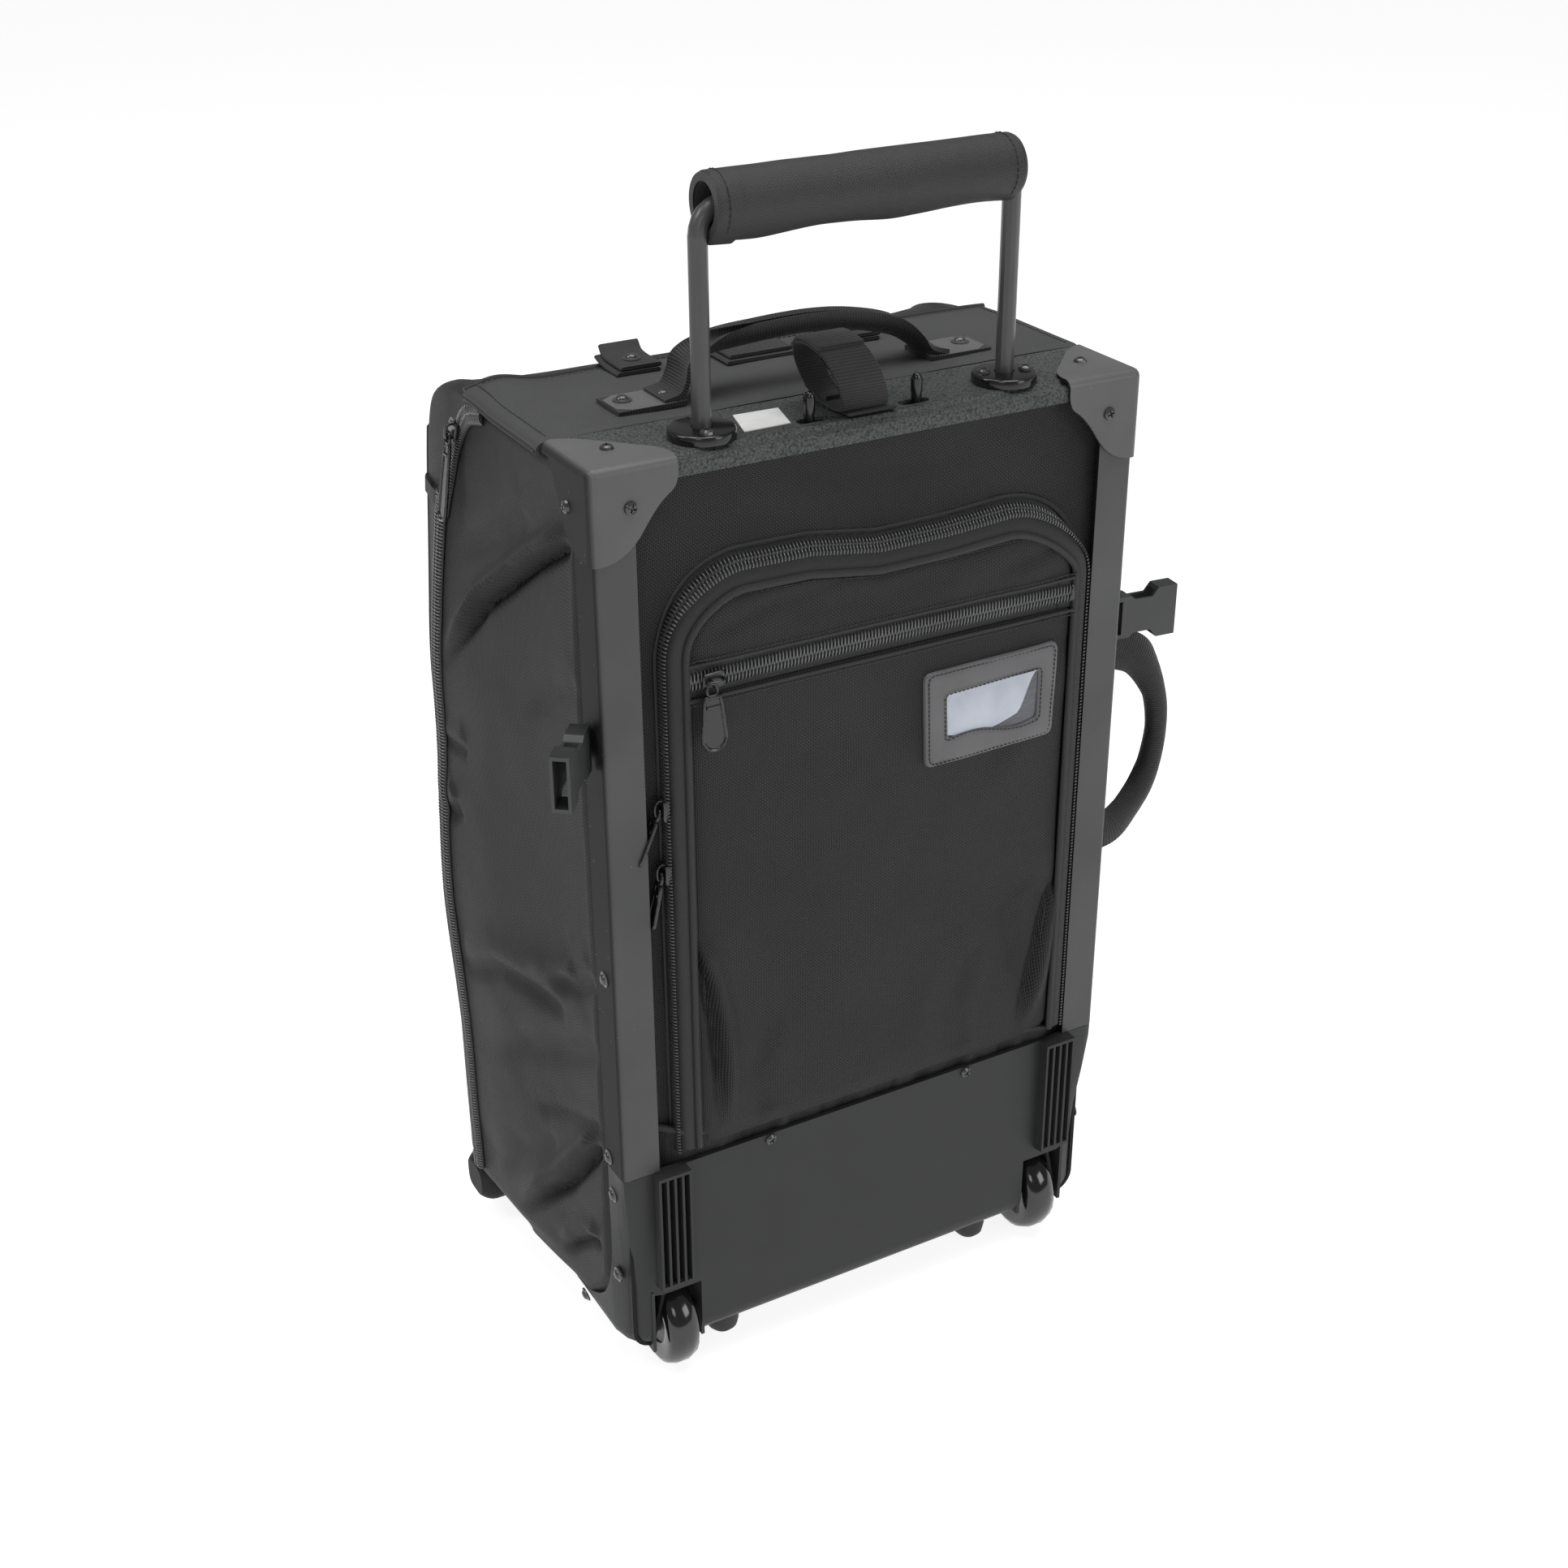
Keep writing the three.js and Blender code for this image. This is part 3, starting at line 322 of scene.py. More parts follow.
MATERIALS = {
    # The card is painted reflection: a pale bluish paper that stands in for what the holder's window reflects
    "reflection_card": paper_finish("painted_reflection_card", (0.5, 0.53, 0.6), (0.4, 0.43, 0.5)),
    # Weave materials: the high tone is painted highlight on the thread tops, the low tone is painted shade
    # between them
    "ballistic": weave_finish("ballistic_nylon", 1.0, grey(0.0015, 0.0002), grey(0.078, 0.002), 0.42, 0.0007,
                              specular=0.2),
    "twill": weave_finish("fine_nylon", 0.42, (0.026, 0.0265, 0.027), (0.14, 0.141, 0.141), 0.6, 0.00012,
                          specular=0.25),
    "wrap": weave_finish("grip_nylon", 0.9, grey(0.006, 0.0005), (0.05, 0.051, 0.054), 0.42, 0.0004),
    "lining": weave_finish("lining_nylon", 0.3, (0.02, 0.021, 0.023), (0.05, 0.052, 0.056), 0.6, 0.0001),
    # Webbing, tape and thread: the high tone is painted highlight on the ribs, the low tone is painted shade
    # in the grooves
    "webbing": ribbed_finish("nylon_webbing", grey(0.002, 0.0002), grey(0.022, 0.0015), 1.6, 0.0005),
    "tape": ribbed_finish("zip_tape", grey(0.008, 0.0005), grey(0.027, 0.002), 0.7, 0.00012, 0.8),
    "binding": weave_finish("binding_nylon", 0.7, grey(0.004, 0.0003), grey(0.03, 0.002), 0.5, 0.00025),
    "thread": ribbed_finish("sewing_thread", grey(0.006), grey(0.03, 0.002), 0.5, 0.0001, 1.0),
    "coil": moulded_finish("zip_coil", (0.05, 0.051, 0.053), (0.085, 0.087, 0.09), 0.2, 900.0, 0.00004, 0.9),
    "zinc": metal_finish("zip_zinc", grey(0.008, 0.0005), grey(0.02, 0.001), (0.2, 0.34), 1500.0, 0.00004,
                         specular=0.6),
    "tray": moulded_finish("tray_plastic", (0.028, 0.0285, 0.0295), (0.036, 0.037, 0.038), 0.5, 2200.0,
                           0.0001, specular=0.22),
    # Rail: the first colour is the lit copy for the rear faces, the second is painted shade for the outer
    # sides
    "rail": painted_finish("rail_paint", (0.092, 0.0925, 0.094), grey(0.009, 0.0005), 0.38),
    # Top rail: the light tone is painted on the pebble tops, the dark tone is painted shade in the hollows
    "top_rail": crinkle_finish("crinkle_paint", (0.016, 0.018, 0.018), (0.09, 0.095, 0.095)),
    # Guard: the first colour is the lit copy for the rear faces, the second is painted shade for the outer
    # sides
    "guard": painted_finish("guard_paint", grey(0.125, 0.002), grey(0.016, 0.0005), 0.3),
    "steel": metal_finish("black_steel", grey(0.05, 0.001), grey(0.11, 0.002), (0.12, 0.22), 1200.0, 0.00005,
                          metallic=0.4),
    "rod": moulded_finish("gunmetal", grey(0.05, 0.002), grey(0.065, 0.002), 0.3, 2500.0, 0.00001, 0.45),
    "gloss": moulded_finish("gloss_black", grey(0.006, 0.0005), grey(0.01, 0.0005), 0.16, 600.0, 0.00003,
                            specular=0.6),
    "tyre": moulded_finish("urethane_tyre", grey(0.006, 0.001), grey(0.011, 0.001), 0.13, 300.0, 0.00004,
                           specular=0.7),
    "hub": moulded_finish("hub_nylon", grey(0.03, 0.002), grey(0.045, 0.002), 0.42, 1500.0, 0.00006),
    "rubber": moulded_finish("foot_rubber", grey(0.014, 0.001), grey(0.022, 0.001), 0.62, 1800.0, 0.0001),
    "buckle": moulded_finish("acetal", (0.026, 0.027, 0.028), (0.04, 0.041, 0.043), 0.38, 1800.0, 0.00006),
    "vinyl": vinyl_finish("holder_vinyl", grey(0.08, 0.003), grey(0.115, 0.005)),
    "window": window_finish("clear_vinyl"),
    "label": paper_finish("blank_label"),
}


# Slots listed for each material, which nothing below reads, and the angle in degrees above which the edges of
# pieces in each material stay sharp.
SLOTS = {
    "coil": "zip_tape", "gloss": "webbing", "label": "rail_metal", "steel": "black_steel", "tape": "zip_tape",
    "vinyl": "holder_vinyl", "webbing": "webbing", "zinc": "zip_metal",
    **dict.fromkeys(("reflection_card", "window"), "window"),
    **dict.fromkeys(("ballistic", "binding", "lining", "thread", "twill", "wrap"), "bag_fabric"),
}
CREASES = {
    "coil": 80, "vinyl": 50,
    **dict.fromkeys(("ballistic", "reflection_card", "gloss", "twill", "webbing", "window", "wrap"), 60),
}


# ---------------------------------------------------------------- mesh tools
class Pieces:
    """Collects closed bodies of quads and triangles, then makes them one named mesh."""

    def __init__(self):
        self.points, self.faces, self.cloth, self.count = [], [], [], 0

    def add(self, points, faces, cloth=None):
        """points (n, 3) in case millimetres; faces index into them; cloth has one (u, v) per corner."""
        points = np.asarray(points, float)
        if volume(points, faces) < 0:
            faces = [face[::-1] for face in faces]
            cloth = None if cloth is None else [corner[::-1] for corner in cloth]
        self.points.append(points)
        self.faces += [[self.count + i for i in face] for face in faces]
        if cloth is None:
            cloth = [[flat_cloth(points[i]) for i in face] for face in faces]
        self.cloth += cloth
        self.count += len(points)
        return self

    def make(self, name, material, replaces, body="case", slot=None, crease=None):
        """One mesh on a body, in place of a CAD node; crease comes from the material if not given; slot is
        not used.
        """
        mesh = bpy.data.meshes.new(name)
        mesh.from_pydata(case(np.concatenate(self.points)).tolist(), [], self.faces)
        layer = mesh.uv_layers.new(name="cloth")
        flat = np.array([uv for corner in self.cloth for uv in corner], np.float32)
        layer.data.foreach_set("uv", flat.ravel())
        mesh.materials.append(MATERIALS[material])
        mesh.shade_smooth()
        mesh.set_sharp_from_angle(angle=math.radians(crease or CREASES.get(material, 38)))
        piece = bpy.data.objects.new(name, mesh)
        scene.collection.objects.link(piece)
        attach(piece, body)
        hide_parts(replaces)


def flat_cloth(point):
    return (point[0] + 0.35 * point[1], point[2] + 0.35 * point[1])


def volume(points, faces):
    """Six times the signed volume, from a fan of triangles in each face."""
    fans = np.array([(f[0], f[k], f[k + 1]) for f in faces for k in range(1, len(f) - 1)])
    a, b, c = (points[fans[:, k]] for k in range(3))
    return np.einsum("ij,ij->i", a - points[0], np.cross(b - points[0], c - points[0])).sum()


def grid_quads(rows, columns, wrap_rows=False, wrap_columns=False, start=0):
    r = np.arange(rows if wrap_rows else rows - 1)
    c = np.arange(columns if wrap_columns else columns - 1)
    i, j = (m.ravel() for m in np.meshgrid(r, c, indexing="ij"))
    i2, j2 = (i + 1) % rows, (j + 1) % columns
    corners = [i * columns + j, i2 * columns + j, i2 * columns + j2, i * columns + j2]
    return (start + np.stack(corners, 1)).tolist()


def end_caps(rows, columns):
    """The first and last rows of a tube as two faces."""
    last = (rows - 1) * columns
    return [list(range(columns))[::-1], [last + j for j in range(columns)]]


def strip_caps(rows, columns):
    """The ends of a tube with a C-shaped or flat section, as quads between its outer and inner walls."""
    faces = []
    for base in (0, (rows - 1) * columns):
        for j in range(columns // 2 - 1):
            face = [base + j, base + j + 1, base + columns - 2 - j, base + columns - 1 - j]
            faces.append(face if base else face[::-1])
    return faces


def grid_cloth(u, v, rows, columns):
    """Cloth corners for grid_quads without wrapping, from (rows, columns) arrays."""
    uv = np.stack([u, v], -1)
    corners = np.stack([uv[:-1, :-1], uv[1:, :-1], uv[1:, 1:], uv[:-1, 1:]], 2)
    return corners.reshape(-1, 4, 2).tolist()


def arc_lengths(grid, axis):
    """Distance from the first point to each point, along one axis of a path or a grid."""
    lengths = np.linalg.norm(np.diff(grid, axis=axis), axis=-1)
    total = np.cumsum(lengths, axis=axis)
    zero = np.zeros_like(np.take(total, [0], axis=axis))
    return np.concatenate([zero, total], axis=axis)


def grid_normals(grid, outward):
    a, b = np.gradient(grid, axis=0), np.gradient(grid, axis=1)
    normals = unit(np.cross(a, b))
    middle = normals[normals.shape[0] // 2, normals.shape[1] // 2]
    return normals * (1 if np.dot(middle, outward) > 0 else -1)


def sheet(pieces, grid, thickness, outward, u=None, v=None):
    """A closed cloth sheet: the grid is its outer face, thickness goes inwards."""
    rows, columns = grid.shape[:2]
    inner = grid - grid_normals(grid, outward) * thickness
    points = np.concatenate([grid.reshape(-1, 3), inner.reshape(-1, 3)])
    half = rows * columns
    u = arc_lengths(grid, 0) if u is None else u
    v = arc_lengths(grid, 1) if v is None else v
    cloth = grid_cloth(u, v, rows, columns)
    faces = grid_quads(rows, columns)
    faces += [face[::-1] for face in grid_quads(rows, columns, start=half)]
    cloth = cloth + [corner[::-1] for corner in cloth]
    ring = [(i, 0) for i in range(rows - 1)] + [(rows - 1, j) for j in range(columns - 1)]
    ring += [(i, columns - 1) for i in range(rows - 1, 0, -1)] + [(0, j) for j in range(columns - 1, 0, -1)]
    for k, (i, j) in enumerate(ring):
        m, n = ring[(k + 1) % len(ring)]
        a, b = i * columns + j, m * columns + n
        faces.append([a, a + half, b + half, b])
        ua, va, ub, vb = u[i, j], v[i, j], u[m, n], v[m, n]
        cloth.append([(ua, va), (ua + thickness, va), (ub + thickness, vb), (ub, vb)])
    return pieces.add(points, faces, cloth)


def frames(path, up, closed=False):
    path = np.asarray(path, float)
    if closed:
        tangent = np.roll(path, -1, 0) - np.roll(path, 1, 0)
    else:
        tangent = np.gradient(path, axis=0)
    tangent = unit(tangent)
    up = np.broadcast_to(np.asarray(up, float), path.shape)
    side = unit(np.cross(tangent, up))
    return tangent, side, np.cross(side, tangent)


def spread_rows(rows, count):
    """The rows repeated or thinned evenly to a new count."""
    rows = np.atleast_2d(np.asarray(rows, float))
    return rows[np.linspace(0, len(rows) - 1, count).round().astype(int)]


def sweep(pieces, path, section, up, closed=False, size=None):
    """Pushes a closed section of (side, up) offsets along a path. size scales it at each point."""
    path = np.asarray(path, float)
    section = np.asarray(section, float)
    _, side, out = frames(path, up, closed)
    size = np.ones(len(path)) if size is None else np.asarray(size, float)
    rings = (path[:, None] + section[None, :, :1] * side[:, None] * size[:, None, None]
             + section[None, :, 1:] * out[:, None] * size[:, None, None])
    rows, columns = rings.shape[:2]
    points = rings.reshape(-1, 3)
    faces = grid_quads(rows, columns, wrap_rows=closed, wrap_columns=True)
    looped = np.concatenate([section, section[:1]])
    around = arc_lengths(looped, 0)
    ends = np.concatenate([path, path[:1]]) if closed else path
    along = arc_lengths(ends, 0)
    u, v = np.meshgrid(around, along, indexing="xy")
    cloth = grid_cloth(u, v, len(along), len(around))
    if not closed:
        faces += end_caps(rows, columns)
        flat = [(float(a), float(b)) for a, b in section]
        cloth += [flat[::-1], flat]
    return pieces.add(points, faces, cloth)


def loft(pieces, rings):
    """A closed body through rings of points, all with the same count, capped at both ends."""
    rows, columns = rings.shape[:2]
    faces = grid_quads(rows, columns, wrap_columns=True) + end_caps(rows, columns)
    u = arc_lengths(np.concatenate([rings, rings[:, :1]], 1), 1)
    v = arc_lengths(rings, 0)
    cloth = grid_cloth(u, np.concatenate([v, v[:, :1]], 1), rows, columns + 1)
    cloth += [[(float(j), 0.0) for j in range(columns)]] * 2
    return pieces.add(rings.reshape(-1, 3), faces, cloth)


def round_section(radius, sides=10, squash=1.0):
    turn = np.arange(sides) * 2 * math.pi / sides
    return np.stack([radius * np.cos(turn), radius * squash * np.sin(turn)], 1)


def band_section(half_width, half_thickness, bulge=0.35):
    """A flat band with rounded edges."""
    a, t = half_width, half_thickness
    inset = bulge * t
    half = [(a - t, -t), (a - inset, -t * 0.6), (a, 0), (a - inset, t * 0.6), (a - t, t)]
    return [(-a + t, -t)] + half + [(-x, z) for x, z in half[:0:-1]]


def smooth_path(points, spacing=2.0, closed=False):
    """Catmull-Rom curve through the points, at even spacing."""
    points = np.asarray(points, float)
    if closed:
        padded = np.concatenate([points[-1:], points, points[:2]])
    else:
        padded = np.concatenate([2 * points[:1] - points[1:2], points, 2 * points[-1:] - points[-2:-1]])
    t = np.linspace(0, 1, 24, endpoint=False)[:, None]
    runs = []
    for k in range(1, len(padded) - 2):
        a, b, c, d = padded[k - 1:k + 3]
        runs.append(0.5 * (2 * b + (c - a) * t + (2 * a - 5 * b + 4 * c - d) * t ** 2
                           + (3 * b - a - 3 * c + d) * t ** 3))
    dense = np.concatenate(runs + [padded[-2:-1]])
    return even_path(dense, spacing, closed)


def even_path(points, spacing, closed=False):
    points = np.asarray(points, float)
    along = arc_lengths(points, 0)
    count = max(2, int(round(along[-1] / spacing)) + 1)
    at = np.linspace(0, along[-1], count)
    path = np.stack([np.interp(at, along, column) for column in points.T], 1)
    return path[:-1] if closed else path


def turned(profile, sides=20):
    """Points and faces of a lathe body about +Z from (radius, height) pairs, axis points at both ends."""
    turn = np.arange(sides) * 2 * math.pi / sides
    rings = [(r * math.cos(a), r * math.sin(a), z) for r, z in profile[1:-1] for a in turn]
    points = np.array([(0, 0, profile[0][1])] + rings + [(0, 0, profile[-1][1])])
    rows = len(profile) - 2
    faces = grid_quads(rows, sides, wrap_columns=True, start=1)
    last = len(points) - 1
    faces += [[0, 1 + j, 1 + (j + 1) % sides] for j in range(sides)]
    top = 1 + (rows - 1) * sides
    faces += [[last, top + (j + 1) % sides, top + j] for j in range(sides)]
    return points, faces


def scatter(pieces, template, places, along, side, out):
    """Copies of a small body, its x, y and z laid along the three directions at each place."""
    points, faces = template
    places, along, side, out = (np.atleast_2d(np.asarray(a, float)) for a in (places, along, side, out))
    for k, place in enumerate(places):
        axes = np.stack([d[min(k, len(d) - 1)] for d in (along, side, out)])
        pieces.add(place + points @ axes, [list(face) for face in faces])
    return pieces


def small_sweep(path, radius, sides=5):
    """A thin wire as a template for scatter."""
    holder = Pieces()
    sweep(holder, path, round_section(radius, sides), (0, 0, 1))
    return holder.points[0], holder.faces


def stitches(pieces, path, up, pitch=3.2, length=2.3, radius=0.32):
    """A row of short thread dashes along a path, half sunk in the cloth."""
    path = even_path(path, pitch)
    tangent, side, out = frames(path, spread_rows(up, len(path)))
    dash = [(-length / 2, 0, 0.02), (-length / 4, 0, 0.22), (length / 4, 0, 0.22), (length / 2, 0, 0.02)]
    dash = small_sweep(dash, radius)
    return scatter(pieces, dash, path, tangent, side, out)


COIL_PITCH = 2.0


def coil_row(pieces, path, up, hand, offset, reach=5.0):
    """One side of a coil zip: loops that stand on the tape from hand*reach to just past the middle."""
    path = even_path(path, COIL_PITCH)
    tangent, side, out = frames(path, spread_rows(up, len(path)))
    shift = hand * COIL_PITCH / 4
    loop = [(shift * 0.4, hand * reach, 0.1), (shift * 0.6, hand * reach * 0.86, 1.3),
            (shift * 0.8, hand * reach * 0.5, 1.7), (shift, -hand * 0.1, 1.5),
            (shift * 1.2, -hand * 0.7, 0.5)]
    template = small_sweep(loop, 0.5, 6)
    return scatter(pieces, template, path + out * offset, tangent, side, out)


def plate(pieces, outline, low, high, bevel=0.0):
    """A flat plate in (x, y) between two heights, its upper edge bevelled."""
    outline = np.asarray(outline, float)
    centre = outline.mean(0)
    shrink = centre + (outline - centre) * (1 - bevel / np.abs(outline - centre).max())
    levels = [(outline, low), (outline, high)]
    if bevel:
        levels = [(outline, low), (outline, high - bevel), (shrink, high)]
    points = np.concatenate([np.column_stack([ring, np.full(len(ring), z)]) for ring, z in levels])
    count = len(outline)
    rows = len(levels)
    return pieces.add(points, grid_quads(rows, count, wrap_columns=True) + end_caps(rows, count))


def laid(points, along, side, out, place):
    """Local (x, y, z) to case millimetres."""
    axes = np.stack([unit(np.asarray(a, float)) for a in (along, side, out)])
    return np.asarray(place, float) + np.asarray(points, float) @ axes


def signed_distance(y, z, line):
    """Distance from each (y, z) to a polyline, positive on its left, and how far along it (0..1)."""
    line = np.asarray(line, float)
    starts = arc_lengths(line, 0)
    lengths = np.diff(starts)
    best = np.full(np.shape(y), 1e9)
    signed, where = np.zeros(np.shape(y)), np.zeros(np.shape(y))
    for k in range(len(line) - 1):
        (ay, az), (by, bz) = line[k], line[k + 1]
        dy, dz = (by - ay) / lengths[k], (bz - az) / lengths[k]
        t = np.clip((y - ay) * dy + (z - az) * dz, 0, lengths[k])
        py, pz = y - ay - t * dy, z - az - t * dz
        distance = np.hypot(py, pz)
        nearer = distance < best
        best = np.where(nearer, distance, best)
        signed = np.where(nearer, np.where(dy * pz - dz * py >= 0, distance, -distance), signed)
        where = np.where(nearer, (starts[k] + t) / starts[-1], where)
    return signed, where


def crease(y, z, line, depth, width, ridge=0.6, fade_in=0.12, fade_out=0.35):
    """A valley along the line with a soft ridge on its left side."""
    distance, where = signed_distance(y, z, line)
    taper = step(where, 0, fade_in) * (1 - step(where, 1 - fade_out, 1))
    valley = -depth * np.exp(-(distance / width) ** 2)
    hump = depth * ridge * np.exp(-((distance - 2.2 * width) / (1.9 * width)) ** 2)
    return taper * (valley + hump)


def creases(y, z, folds, deeper=1.0, narrower=1.0):
    """All the folds of a list together."""
    return sum(deeper * crease(y, z, line, depth, width * narrower, ridge)
               for line, depth, width, ridge in folds)


# ---------------------------------------------------------------- the bag's form
SIDE_WIDTH = 157.2
ZIP_CURVE = [(181, 46), (181, 455), (178, 481), (172, 504), (165, 522), (158, 534), (147, 544), (130, 549)]
RIM_CURVE = [(207, 44), (214, 455), (215, 484), (215, 508), (213, 528), (205, 542), (183, 551), (147, 555.5)]
HARDWARE_EDGE = [(22, 600), (22, 150), (26.5, 62), (34, 49), (55, 28.7), (88, 22.8), (125, 20)]

# Folds on the side panels: line in (y, z), depth, width, ridge.
LEFT_FOLDS = [
    ([(22, 516), (70, 488), (125, 448), (176, 392)], 5.5, 4.5, 0.75),
    ([(75, 512), (120, 486), (165, 462)], 1.8, 9, 0.3),
    ([(148, 353), (168, 350), (182, 347)], 1.8, 5, 0.5),
    ([(158, 314), (170, 306), (182, 301)], 2.4, 7, 0.6),
    ([(60, 226), (130, 222), (165, 203), (184, 212)], 2.6, 8, 0.7),
    ([(48, 262), (75, 250), (100, 238)], -1.6, 8, 0.4),
    ([(24, 161), (48, 133), (73, 102), (92, 85), (112, 64), (128, 47)], 5.5, 5.5, 0.7),
    ([(34, 84), (48, 79), (66, 64), (84, 46)], 3.4, 4.5, 0.6),
    ([(23, 268), (50, 248), (80, 240)], 2.0, 7, 0.5),
    ([(23, 225), (60, 200), (110, 178), (150, 150)], 2.4, 12, 0.5),
    ([(23, 172), (60, 158), (110, 138)], 1.2, 5, 0.5),
    ([(80, 130), (120, 100), (150, 60)], 1.6, 10, 0.5),
    ([(23, 440), (55, 425), (90, 395)], 1.2, 8, 0.4),
]
RIGHT_FOLDS = [
    ([(22, 506), (60, 470), (110, 440), (160, 420)], 4.5, 5.5, 0.7),
    ([(180, 470), (130, 480), (90, 515)], 2.0, 8, 0.5),
    ([(22, 240), (70, 215), (130, 205), (182, 225)], 3.0, 8, 0.7),
    ([(24, 160), (60, 125), (100, 90), (135, 50)], 5.0, 6, 0.7),
    ([(182, 330), (150, 325), (110, 340)], 2.2, 7, 0.6),
    ([(36, 80), (60, 62), (84, 44)], 3.0, 5, 0.6),
    ([(22, 300), (80, 290), (140, 270)], 1.8, 9, 0.5),
]


def curve_yz(points, count):
    """A smooth run of (y, z) points, evenly spaced in the curve's own parameter."""
    path = smooth_path([(0, y, z) for y, z in points], 0.5)
    return path[np.linspace(0, len(path) - 1, count).astype(int), 1:]


def swell(y, z):
    """How far the sides stand out of the frame's width, most at mid height along the zip."""
    along = step(y, 45, 175) - 0.5 * step(y, 185, 214)
    return along * (16 * step(z, 20, 50) * (1 - step(z, 370, 570))
                    + 4.5 * step(z, 140, 250) * (1 - step(z, 250, 370)))


def side_reach(y, z, side):
    """Half width of the side panel at (y, z); it bulges out past the rail and the tray's wing."""
    clear, _ = signed_distance(y, z, HARDWARE_EDGE)
    half = 153.0 + (SIDE_WIDTH - 153.0) * step(clear, -1, 7) + swell(y, z)
    folds = creases(y, z, LEFT_FOLDS if side < 0 else RIGHT_FOLDS, 1.6, 0.75)
    seed = 3 if side < 0 else 4
    folds = folds + 1.3 * soft_noise(y, z, 55, seed) + 0.35 * soft_noise(y, z, 19, seed + 10)
    near_zip = 1 - 0.75 * step(y, 166, 181)
    return half + folds * step(clear, 1, 12) * near_zip


def zip_y(z):
    line = curve_yz(ZIP_CURVE, 400)
    return np.interp(z, line[:, 1], line[:, 0])


def make_sides():
    """The body's fabric: left panel, bottom and right panel in one U-shaped sheet."""
    top, corner = 551.0, 13.0
    rows, columns = 175, 84
    depth = np.linspace(0, 1, columns)
    pieces = Pieces()
    legs = {}
    for _, side in SIDES:
        levels = np.linspace(top, 25.6 + corner, rows)
        reach = zip_y(levels)
        y = 5 + depth[None] * (reach[:, None] - 5)
        drop = 10.6 * step(y, 119, 140)
        z = levels[:, None] - drop * step(top - levels[:, None], 350, 510)
        x = side_reach(y, z, side) - 3.5 * step(z, 546.5, 551.5)
        legs[side] = xyz(side * x, y, z)
    arcs = {}
    for _, side in SIDES:
        foot = legs[side][-1]
        turn = np.linspace(0, math.pi / 2, 7)[1:, None]
        arcs[side] = xyz(foot[None, :, 0] - side * corner * (1 - np.cos(turn)), foot[None, :, 1],
                         foot[None, :, 2] - corner * np.sin(turn))
    a, b = arcs[-1][-1], arcs[1][-1]
    t = np.linspace(0, 1, 30)[1:-1, None, None]
    floor = a[None] * (1 - t) + b[None] * t
    floor[..., 2] += 42 * (1 - step(floor[..., 1], 60, 66)) * (1 - step(np.abs(floor[..., 0]), 141, 146))
    grid = np.concatenate([legs[-1], arcs[-1], floor, arcs[1][::-1], legs[1][::-1]])
    sheet(pieces, grid, COVER, (0, 0, -1))
    pieces.make("bag_sides", "ballistic", "bag_body")


def make_front_sill():
    """Rounded lower edge of the body in front of the feet, under the lid's hinge line."""
    turn = np.linspace(0, 2 * math.pi, 33)[:-1]
    squared = lambda value: np.sign(value) * np.abs(value) ** 0.55
    section = np.column_stack([196 + 15.5 * squared(np.cos(turn)), 29.5 + 13.8 * squared(np.sin(turn))])
    tip = -172.5 + 9 * (1 - np.cos(np.linspace(0, math.pi / 2, 6)))
    ends = np.concatenate([tip, np.linspace(-160, 160, 60), -tip[::-1]])
    shrink = 1 - 0.3 * np.clip((np.abs(ends) - 163.5) / 9, 0, 1) ** 2
    middle = section.mean(0)
    rings = []
    for x, scale in zip(ends, shrink):
        ring = middle + (section - middle) * scale
        ring = ring + 0.5 * soft_noise(ring[:, 0] + x, ring[:, 1], 22, 15)[:, None]
        rings.append(np.column_stack([np.full(len(ring), x), ring]))
    loft(Pieces(), np.array(rings)).make("front_sill", "ballistic", "bag_body")


def make_rear_panel():
    x = np.linspace(-152.4, 152.4, 110)
    z = np.linspace(70, 549, 160)
    z, x = np.meshgrid(z, x, indexing="ij")
    y = PANEL_Y + 0.7 * soft_noise(x, z, 45, 21) + 0.25 * soft_noise(x, z, 14, 22)
    y -= creases(x, z, [([(-60, 548), (-20, 530), (40, 526), (90, 545)], 1.4, 8, 0.5),
                        ([(-128, 540), (-90, 515), (-40, 508)], 1.0, 7, 0.5)])
    y += 1.6 * step(np.abs(x), 136, 150)
    sheet(Pieces(), xyz(x, y, z), 1.8, (0, -1, 0), x, z).make("rear_panel", "ballistic", "bag_body")


def top_height(x, y):
    """Upper surface of the flap that covers the bag behind the top rail."""
    puff = 1.3 * np.clip(1 - (x / 158) ** 2, 0, 1) ** 0.5 + 0.5 * soft_noise(x, y, 40, 31)
    sag = -1.6 * np.exp(-((np.abs(x) - 78) / 26) ** 2) * np.exp(-((y - 80) / 22) ** 2)
    bump = 4.2 * np.exp(-((x + 142) / 15) ** 2) * step(y, 105, 140)
    return 557.2 + puff + sag + bump


